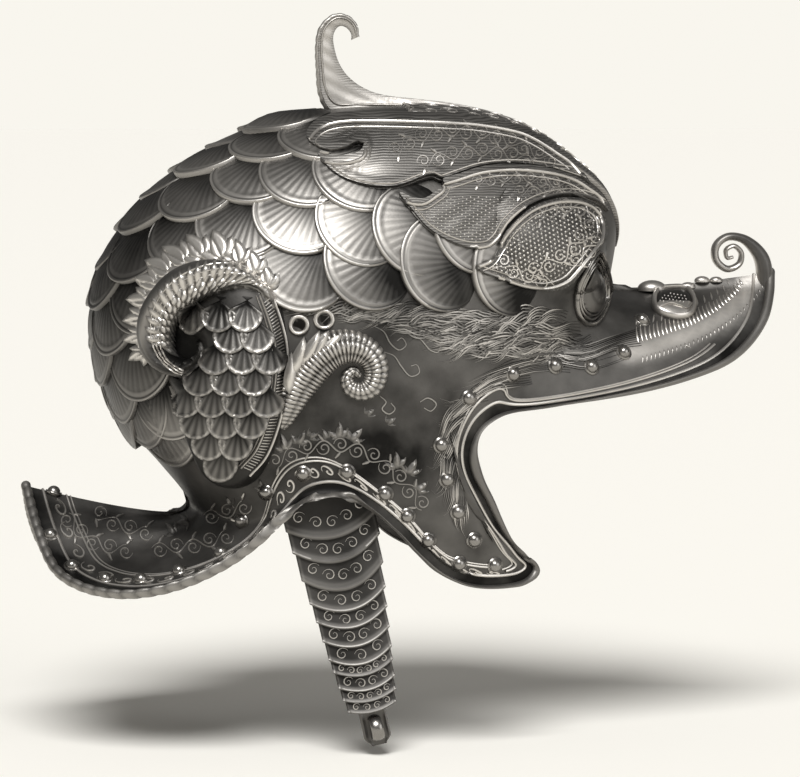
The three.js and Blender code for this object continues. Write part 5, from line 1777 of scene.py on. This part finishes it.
# Thin curls by the horn, vines along the lining and sprays of leaves above them
CURLS = [
    [(374, 326), (384, 332), (390, 343), (399, 350), (406, 345), (402, 338), (397, 341)],
    [(384, 352), (394, 356), (401, 366), (410, 376), (419, 373), (417, 365), (411, 366)],
    [(380, 396), (386, 402), (382, 409), (389, 414), (395, 409), (391, 403)],
    [(420, 402), (428, 398), (436, 404), (431, 411), (424, 408)],
    [(410, 334), (420, 339), (430, 350), (438, 352), (440, 345), (434, 343)],
]
CHEEK_VINES = [
    [(276, 462), (300, 450), (330, 446), (360, 450), (386, 466), (408, 488), (424, 508)],
    [(244, 506), (222, 514), (204, 516)], [(226, 536), (204, 543), (178, 547), (152, 549)],
    [(126, 550), (102, 546), (82, 534), (66, 516)], [(146, 532), (120, 526), (98, 514)],
]
SPRAYS = [
    ((286, 452), (276, 428)), ((298, 446), (304, 424)), ((308, 438), (322, 428)), ((340, 440), (336, 416)),
    ((350, 442), (364, 422)), ((328, 440), (318, 426)), ((398, 470), (392, 446)), ((408, 476), (416, 452)),
    ((416, 492), (430, 476)), ((366, 416), (376, 404)), ((386, 424), (398, 414)), ((190, 520), (172, 528)),
    ((232, 508), (222, 494)), ((262, 490), (256, 476)), ((176, 534), (160, 522)),
]
# Vines that start in front of this pixel are on the cheek, and are painted darker as shade, like the cheek
CHEEK_START = 260


def tendrils():
    casting = Casting()
    for path in CHEEK_VINES:
        # Vines on the cheek are painted darker, as shade.
        shade = 0.5 if path[0][0] > CHEEK_START else 0.9
        lay(casting, vine(path, 17, 8), metal, 0.5, shade=shade)
    for path in CURLS:
        lay(casting, [smooth_path(path, 36)], metal, 0.5, shade=0.6)
    for root, tip in SPRAYS:
        tip = (np.array(root) + 3 * np.array(tip)) / 4
        acanthus(casting, root, tip, metal, -0.2, width=0.2, bright=0.5)
    casting.piece("tendrils", BRIGHT_IRON, "iron")


# Ear holes: eyelets through the sheet
EYELETS = [(299, 325), (324, 319.5)]
EYELET_RADIUS = 4.1
EYELET_POINTS = 40


def eyelets():
    """Rings round the ear holes. Returns the holes' middles."""
    casting = Casting()
    centres, facing = metal.seen_at(EYELETS)
    angles = np.linspace(0, 2 * math.pi, EYELET_POINTS, endpoint=False)
    for centre, normal in zip(centres, facing):
        first = unit(np.cross(normal, (0, 0, 1.0)))
        second = np.cross(normal, first)
        around = np.cos(angles)[:, None] * first + np.sin(angles)[:, None] * second
        circle = centre + EYELET_RADIUS * around
        out = np.tile(normal, (EYELET_POINTS, 1))
        casting.add(*strand(circle, out, 1.25, 1.6, sides=7, closed=True, sunk=1.6))
    casting.piece("eyelets", BRIGHT_IRON, "iron")
    return centres


# The crest: a comb that rises into a hook. Top and foot (x, z) and half width; no foot height means
# that it stands on the bowl
CREST = [
    (92, -5.8, 93, None, 1), (72.5, 2, 74, None, 2.2), (52.5, 6.8, 54, None, 3), (32, 9.4, 32, None, 3.4),
    (14, 11.5, 14, None, 3.6), (4, 15, 0, None, 3.8), (-3.5, 20.5, -12, None, 4), (-8, 27, -17, 12, 3.6),
    (-10.3, 34, -18.2, 24, 3), (-11, 40, -18.6, 35, 2.6), (-9.5, 44, -17, 44, 2.3), (-7, 45.5, -11, 50, 2),
    (-4, 44.3, -4.5, 50, 1.7), (-2, 41.5, 0, 46, 1.3), (-2, 38.5, 1.3, 40, 0.8),
]
CREST_ROWS, CREST_COLUMNS = 150, 15
# The rope up the crest's back: its first row, sides, radius, pitch, and a place in front of all of it
ROPE_FIRST, ROPE_SIDES, ROPE_RADIUS, ROPE_TWIST = 60, 10, 1.9, 4.4
CREST_FRONT = np.array([5, 0, 30.0])
# The fillet along its foot: rows and share of the height
FOOT_ROWS, FOOT_SHARE = slice(20, 146), 0.2


def crest():
    rows = []
    for top_x, top_z, foot_x, foot_z, half in CREST:
        if foot_z is None:
            start = np.array([foot_x, 0, -60.0])
            foot_z = leave_bowl(start, np.array([0, 0, 1.0]), 0, 80)[2] - 0.6
        rows.append((top_x, top_z, foot_x, foot_z, half))
    path = curve_through(np.arange(len(rows)), rows)(np.linspace(0, len(rows) - 1, CREST_ROWS))
    top_x, top_z, foot_x, foot_z, half = (path[:, k : k + 1] for k in range(5))
    t = np.linspace(0, 1, CREST_COLUMNS)
    x = foot_x + (top_x - foot_x) * t
    z = foot_z + (top_z - foot_z) * t
    vein = 0.35 * np.cos(x * 0.42 + z * 0.9) * np.sin(math.pi * t) * (half > 1.2)
    right = np.stack([x, -(half * (1 - 0.8 * t**0.7) + vein * 0.5), z], axis=-1)
    ring = np.concatenate([right, (right * MIRROR)[:, ::-1]], axis=1)
    side = 0.5 + 0.3 * np.sin(math.pi * t) * np.ones((CREST_ROWS, 1))
    tones = np.concatenate([side, side[:, ::-1]], axis=1)
    casting = Casting()
    casting.add(ring, tube_faces(CREST_ROWS, 2 * CREST_COLUMNS), tones, both_sides=False)
    rear = path[ROPE_FIRST:]
    count = len(rear)
    back_line = np.stack([rear[:, 2], np.zeros(count), rear[:, 3]], axis=1)
    ahead = unit(np.gradient(back_line, axis=0))
    outward = np.stack([ahead[:, 2], np.zeros(count), -ahead[:, 0]], axis=1)
    outward *= np.sign(((back_line - CREST_FRONT) * outward).sum(1))[:, None]
    angles = np.linspace(0, 2 * math.pi, ROPE_SIDES, endpoint=False)
    fade = np.linspace(1.0, 0.5, count)[:, None]
    travelled = np.cumsum(np.linalg.norm(np.gradient(back_line, axis=0), axis=1))[:, None]
    twist = np.abs(np.sin(travelled * math.pi / ROPE_TWIST + angles / 2))
    rope = ROPE_RADIUS * fade * (1 - 0.2 * (1 - twist))
    level = np.tile([0, 1.0, 0], (count, 1))
    tube = rings_round(back_line, outward, level, rope * np.cos(angles), rope * np.sin(angles))
    casting.add(tube, tube_faces(count, ROPE_SIDES), 0.7, both_sides=False)
    line = path[FOOT_ROWS]
    places = np.stack(
        [
            line[:, 2] + (line[:, 0] - line[:, 2]) * FOOT_SHARE,
            -(line[:, 4] * (1 - 0.8 * FOOT_SHARE**0.7)),
            line[:, 3] + (line[:, 1] - line[:, 3]) * FOOT_SHARE,
        ],
        axis=1,
    )
    casting.add(*strand(places, np.tile(RIGHTWARD, (len(places), 1)), 0.6, 0.8))
    casting.piece("crest", ENGRAVED_IRON, "iron", ["crest_fin"], crease=50)


# The scroll at the tip of the peak, in the middle plane: pixel, half width across and half thickness
TIP_SCROLL = [
    (763, 300, 12, 8), (764.5, 278, 11, 8.5), (762, 260, 10, 8), (754, 247.5, 8, 6.5),
    (742, 238.5, 7, 4.6),
    (727, 237, 7, 4), (716, 246, 7, 3.9), (716, 260, 7, 3.8), (727, 269, 6.5, 3.6), (739, 264, 6, 3.2),
    (741, 253, 5.5, 2.8), (734, 246, 5, 2.5), (726, 250, 4.6, 2.3), (727, 258, 4, 2), (733, 257, 3, 1.6),
]
SCROLL_SIDES = 16
# Bumps on the ridge of the snout: pixel, half width and height in pixels
KNOBS = ((652, 289, 15, 9), (688, 287, 8, 5), (702, 281, 8, 5), (716, 281, 7, 4.5))
KNOB_RINGS, KNOB_SIDES = 8, 20


def on_middle_plane(pixels):
    rays = rays_to(pixels)
    return LENS_POINT + rays * (-LENS_POINT[1] / rays[:, 1])[:, None]


def tube_along(places, first, second, first_radius, second_radius, sides=12):
    angles = np.linspace(0, 2 * math.pi, sides, endpoint=False)
    across, up = first_radius[:, None] * np.cos(angles), second_radius[:, None] * np.sin(angles)
    return rings_round(places, first, second, across, up), tube_faces(len(places), sides)


def knob(pixel, wide, tall):
    """A bump on the ridge of the snout."""
    turn = np.linspace(0, 2 * math.pi, KNOB_SIDES, endpoint=False)
    rise = np.linspace(-0.2, math.pi / 2, KNOB_RINGS)
    points = np.stack(
        [
            np.outer(np.cos(rise), np.cos(turn)) * wide * MM_PER_PIXEL,
            np.outer(np.cos(rise), np.sin(turn)) * wide * 0.8 * MM_PER_PIXEL,
            np.outer(np.sin(rise), np.ones(KNOB_SIDES)) * tall * MM_PER_PIXEL,
        ],
        axis=-1,
    )
    return on_middle_plane(pixel)[0] + points, tube_faces(KNOB_RINGS, KNOB_SIDES, capped=False), 0.7


def tip_scroll():
    path = smooth_path(TIP_SCROLL, 160)
    places = on_middle_plane(path[:, :2])
    ahead = unit(np.gradient(places, axis=0))
    across = np.tile([0, 1.0, 0], (len(places), 1))
    out = unit(np.cross(ahead, across))
    wide, thick = path[:, 2] * MM_PER_PIXEL, path[:, 3] * MM_PER_PIXEL
    ring, faces = tube_along(places, across, out, wide, thick, sides=SCROLL_SIDES)
    around = np.abs(np.sin(np.linspace(0, 2 * math.pi, SCROLL_SIDES, endpoint=False)))
    thin = smoothstep(60, 90, np.arange(len(path)))[:, None]
    low = smoothstep(0, 14, np.arange(len(path)))[:, None]
    casting = Casting()
    casting.add(ring, faces, np.maximum(0.12 + 0.8 * around**4, 0.6 * thin) * low, both_sides=False)
    for x, y, wide, tall in KNOBS:
        casting.add(*knob((x, y), wide, tall), both_sides=False)
    casting.piece("tip_curl", BRIGHT_IRON, "iron", ["tip_scroll"])


# The chin strap, on the right side only
STRAP_TOP = np.array([-27.5, -78.0, -168.0])
STRAP_LEAN = math.radians(12.3)
STRAP_DOWN = np.array([math.sin(STRAP_LEAN), 0, -math.cos(STRAP_LEAN)])
STRAP_ACROSS = np.array([math.cos(STRAP_LEAN), 0, math.sin(STRAP_LEAN)])
STRAP_BULGE = 0.13
LAME_GAP, LAME_RISE, LAME_THICK, FIRST_LAME = 0.3, 2.15, 1.1, 15.0
LAME_COLUMNS, LAME_ROWS = 41, 17
# The clasp: length, half width, and the loop's radius, width and thickness
CLASP_LENGTH, CLASP_HALF = 21, 6.6
LOOP_RADIUS, LOOP_WIDE, LOOP_THICK, LOOP_POINTS = 5.0, 3.0, 1.3, 60
# Lower edge of each lame: distance down the strap, half width and rounding
LAMES = [
    (33.5, 22.5, 8), (45.3, 21.6, 9), (59.2, 20.2, 9), (69.6, 18.8, 7.5), (78, 17.6, 6.5), (87.4, 16.6, 6),
    (96.4, 15.6, 5.5), (101.8, 14.8, 4.5), (109.3, 14, 4), (114.7, 13.2, 3), (120.1, 12, 2.5),
]
strap_half_at = curve_through([row[0] for row in LAMES], [row[1] for row in LAMES])


def on_strap(down, across, out):
    half = strap_half_at(np.maximum(down, LAMES[0][0]))
    bulge = STRAP_BULGE * half * np.clip(1 - (across / half) ** 2, 0, 1)
    away = np.stack([np.zeros_like(down), -(bulge + out), np.zeros_like(down)], axis=-1)
    return STRAP_TOP + down[..., None] * STRAP_DOWN + across[..., None] * STRAP_ACROSS + away


def lames():
    """Where each lame starts to show down the strap, then its lower edge, half width and rounding."""
    above = LAMES[0][0] - FIRST_LAME
    for down, half, rounding in LAMES:
        yield above, down, half, rounding
        above = down


def strap_lames():
    casting = Casting()
    share = np.linspace(-1, 1, LAME_COLUMNS)[:, None]
    v = np.linspace(0, 1, LAME_ROWS)[None, :]
    edge = np.exp(-(((v - 0.93) / 0.05) ** 2)) * 0.55 + np.exp(-(((v - 0.8) / 0.03) ** 2)) * 0.25
    side = np.exp(-(((np.abs(share) - 0.95) / 0.025) ** 2)) * 0.35
    tone = 0.12 + 0.9 * edge + 0.5 * side
    tones = np.concatenate([np.clip(tone, 0, 1), np.full_like(tone, 0.1)], axis=1)
    for above, down, half, rounding in lames():
        length = (down - above) / 0.75
        at = down - length * (1 - v) - rounding * share**2
        x = share * half * (1 + 0 * v)
        front = on_strap(at, x, LAME_GAP + LAME_RISE * v + LAME_THICK + edge + side)
        rear = on_strap(at, x, LAME_GAP + LAME_RISE * v + 0 * share)
        shell = np.concatenate([front, rear[:, ::-1]], axis=1)
        casting.add(shell, shell_faces(LAME_COLUMNS, LAME_ROWS), tones, both_sides=False)
    nodes = [f"strap_lame_{i:02d}" for i in range(1, len(LAMES) + 1)]
    casting.piece("strap_lames", IRON, "dark_iron", nodes, crease=50)


def strap_scrolls():
    """Scrolls raised on the showing part of each lame."""
    casting = Casting()
    for above, down, half, rounding in lames():
        tall = min(down - above, 9) * 0.36
        count = max(int(half * 1.7 / (tall * 2.1)), 2)
        for k in range(count):
            across = (k + 0.5) / count * 2 - 1
            middle = down - 0.55 * (down - above) - rounding * across**2
            hand = 1 if k % 2 else -1
            curl = spiral((across * half * 0.84, middle), tall, 200 if hand > 0 else -20, 1.35, hand, 18)
            places = on_strap(curl[:, 1], curl[:, 0], LAME_GAP + LAME_RISE * 0.55 + LAME_THICK)
            facing = np.tile(RIGHTWARD, (len(curl), 1))
            width = tapered(len(curl), 0.4)
            casting.add(*strand(places, facing, width, width * 1.3, sides=4), both_sides=False)
    casting.piece("strap_scrolls", BRIGHT_IRON, "iron")


def strap_hook():
    casting = Casting()
    top = LAMES[-1][0] - 4
    across, along = 15, 20
    share = np.linspace(-1, 1, across)[:, None]
    v = np.linspace(0, 1, along)[None, :]
    half = CLASP_HALF * (1 - 0.45 * smoothstep(0.8, 1, v)) * (1 + 0 * share)
    at = top + CLASP_LENGTH * v + 0 * share
    base = STRAP_TOP + at[..., None] * STRAP_DOWN + (share * half)[..., None] * STRAP_ACROSS
    edge = 0.5 * np.exp(-(((np.abs(share) - 0.88) / 0.08) ** 2)) + 0 * v
    front = base + RIGHTWARD * (-1.1 + edge)[..., None]
    rear = base - RIGHTWARD * 3.4
    shell = np.concatenate([front, rear[:, ::-1]], axis=1)
    casting.add(shell, shell_faces(across, along), 0.35, both_sides=False)
    turn = np.linspace(0, math.pi * 1.55, LOOP_POINTS)
    at = top + 17.5 - LOOP_RADIUS * (1 - np.cos(turn))
    out = 0.4 + LOOP_RADIUS * np.sin(turn)
    places = STRAP_TOP + at[:, None] * STRAP_DOWN + out[:, None] * RIGHTWARD
    ahead = unit(np.gradient(places, axis=0))
    wide = np.tile(STRAP_ACROSS, (LOOP_POINTS, 1))
    radii = np.full(LOOP_POINTS, LOOP_WIDE), np.full(LOOP_POINTS, LOOP_THICK)
    ring, faces = tube_along(places, wide, unit(np.cross(ahead, wide)), *radii)
    casting.add(ring, faces, 0.8, both_sides=False)
    casting.piece("strap_clasp", BLACK_IRON, "dark_iron", ["strap_hook"])


bowl_rows = np.linspace(0, math.pi, 120)
bowl_depths = np.linspace(0, root_depth(-235.0), 110)
bowl_points = on_bowl(bowl_rows[:, None] + 0 * bowl_depths, bowl_depths + 0 * bowl_rows[:, None])
bowl_ground = Ground(
    bowl_points.reshape(-1, 3),
    bowl_normal(bowl_points).reshape(-1, 3),
    grid_faces(len(bowl_rows), len(bowl_depths)),
)

helmet_sheet(eyelets())
edge_roll()
edge_lines()
scale_coat()
leaf_plates()
forehead_band()
volute_body = ear_volutes()
belly_fans(volute_body)
volute_leaves(volute_body)
gill_horns()
eyes()
nostrils()
snout_wrinkles()
tufts()
tendrils()
crest()
tip_scroll()
strap_lames()
strap_scrolls()
strap_hook()
rivet_heads()
for name, finish in (("strap_leather", LEATHER), ("strap_post", BLACK_IRON)):
    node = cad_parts[name]
    node.data.materials.clear()
    node.data.materials.append(finish)


# The stage: a wide pale floor, in metres, the room's light and what the camera sees behind all
FLOOR_HALF, FLOOR_DROP = 60.0, 0.004
FLOOR_COLOR = (0.97, 0.945, 0.88, 1)
ROOM_COLOR, ROOM_STRENGTH = (0.9, 0.88, 0.84, 1), 0.17
BACKDROP_COLOR = (0.946, 0.921, 0.855, 1)
# Each sun: the side that it stands on, its strength and its width in degrees
SUNS = {"key_sun": ((-0.2, -1.1, 1.2), 3.31, 28), "front_sun": ((1.3, -1.2, 0.45), 0.75, 40)}
SENSOR_WIDTH, FARTHEST = 36, 100


def floor():
    mesh = bpy.data.meshes.new("floor")
    level = CAD_BOX[0][2] - FLOOR_DROP
    corners = [(x * FLOOR_HALF, y * FLOOR_HALF, level) for x, y in ((-1, -1), (1, -1), (1, 1), (-1, 1))]
    mesh.from_pydata(corners, [], [(0, 1, 2, 3)])
    mesh.materials.append(Finish("pale_floor").surface(base_color=FLOOR_COLOR, roughness=0.9))
    plane = bpy.data.objects.new("floor", mesh)
    bpy.context.collection.objects.link(plane)


def room():
    world = bpy.data.worlds.new("studio")
    bpy.context.scene.world = world
    world.use_nodes = True
    tree = world.node_tree
    light = tree.nodes["Background"]
    backdrop = tree.nodes.new("ShaderNodeBackground")
    for node, color, strength in (
        (light, ROOM_COLOR, ROOM_STRENGTH),
        (backdrop, BACKDROP_COLOR, 1.0),
    ):
        node.inputs["Color"].default_value = color
        node.inputs["Strength"].default_value = strength
    path = tree.nodes.new("ShaderNodeLightPath")
    mixer = tree.nodes.new("ShaderNodeMixShader")
    tree.links.new(path.outputs["Is Camera Ray"], mixer.inputs["Fac"])
    tree.links.new(light.outputs["Background"], mixer.inputs[1])
    tree.links.new(backdrop.outputs["Background"], mixer.inputs[2])
    tree.links.new(mixer.outputs["Shader"], tree.nodes["World Output"].inputs["Surface"])


def lights():
    for name, (place, strength, width) in SUNS.items():
        data = bpy.data.lights.new(name, "SUN")
        data.energy = strength
        data.angle = math.radians(width)
        light = bpy.data.objects.new(name, data)
        light.location = place
        toward = Vector(AIM * MM) - Vector(place)
        light.rotation_euler = toward.to_track_quat("-Z", "Y").to_euler()
        bpy.context.collection.objects.link(light)
    bpy.context.scene.view_settings.view_transform = "Standard"


def camera():
    data = bpy.data.cameras.new("picture_camera")
    data.sensor_width = SENSOR_WIDTH
    data.lens = FOCAL * SENSOR_WIDTH / IMAGE_WIDTH
    data.clip_end = FARTHEST
    seat = bpy.data.objects.new("picture_camera", data)
    seat.location = LENS_POINT * MM
    seat.rotation_euler = Vector(-BACK).to_track_quat("-Z", "Y").to_euler()
    bpy.context.collection.objects.link(seat)
    bpy.context.scene.camera = seat


floor()
room()
lights()
camera()
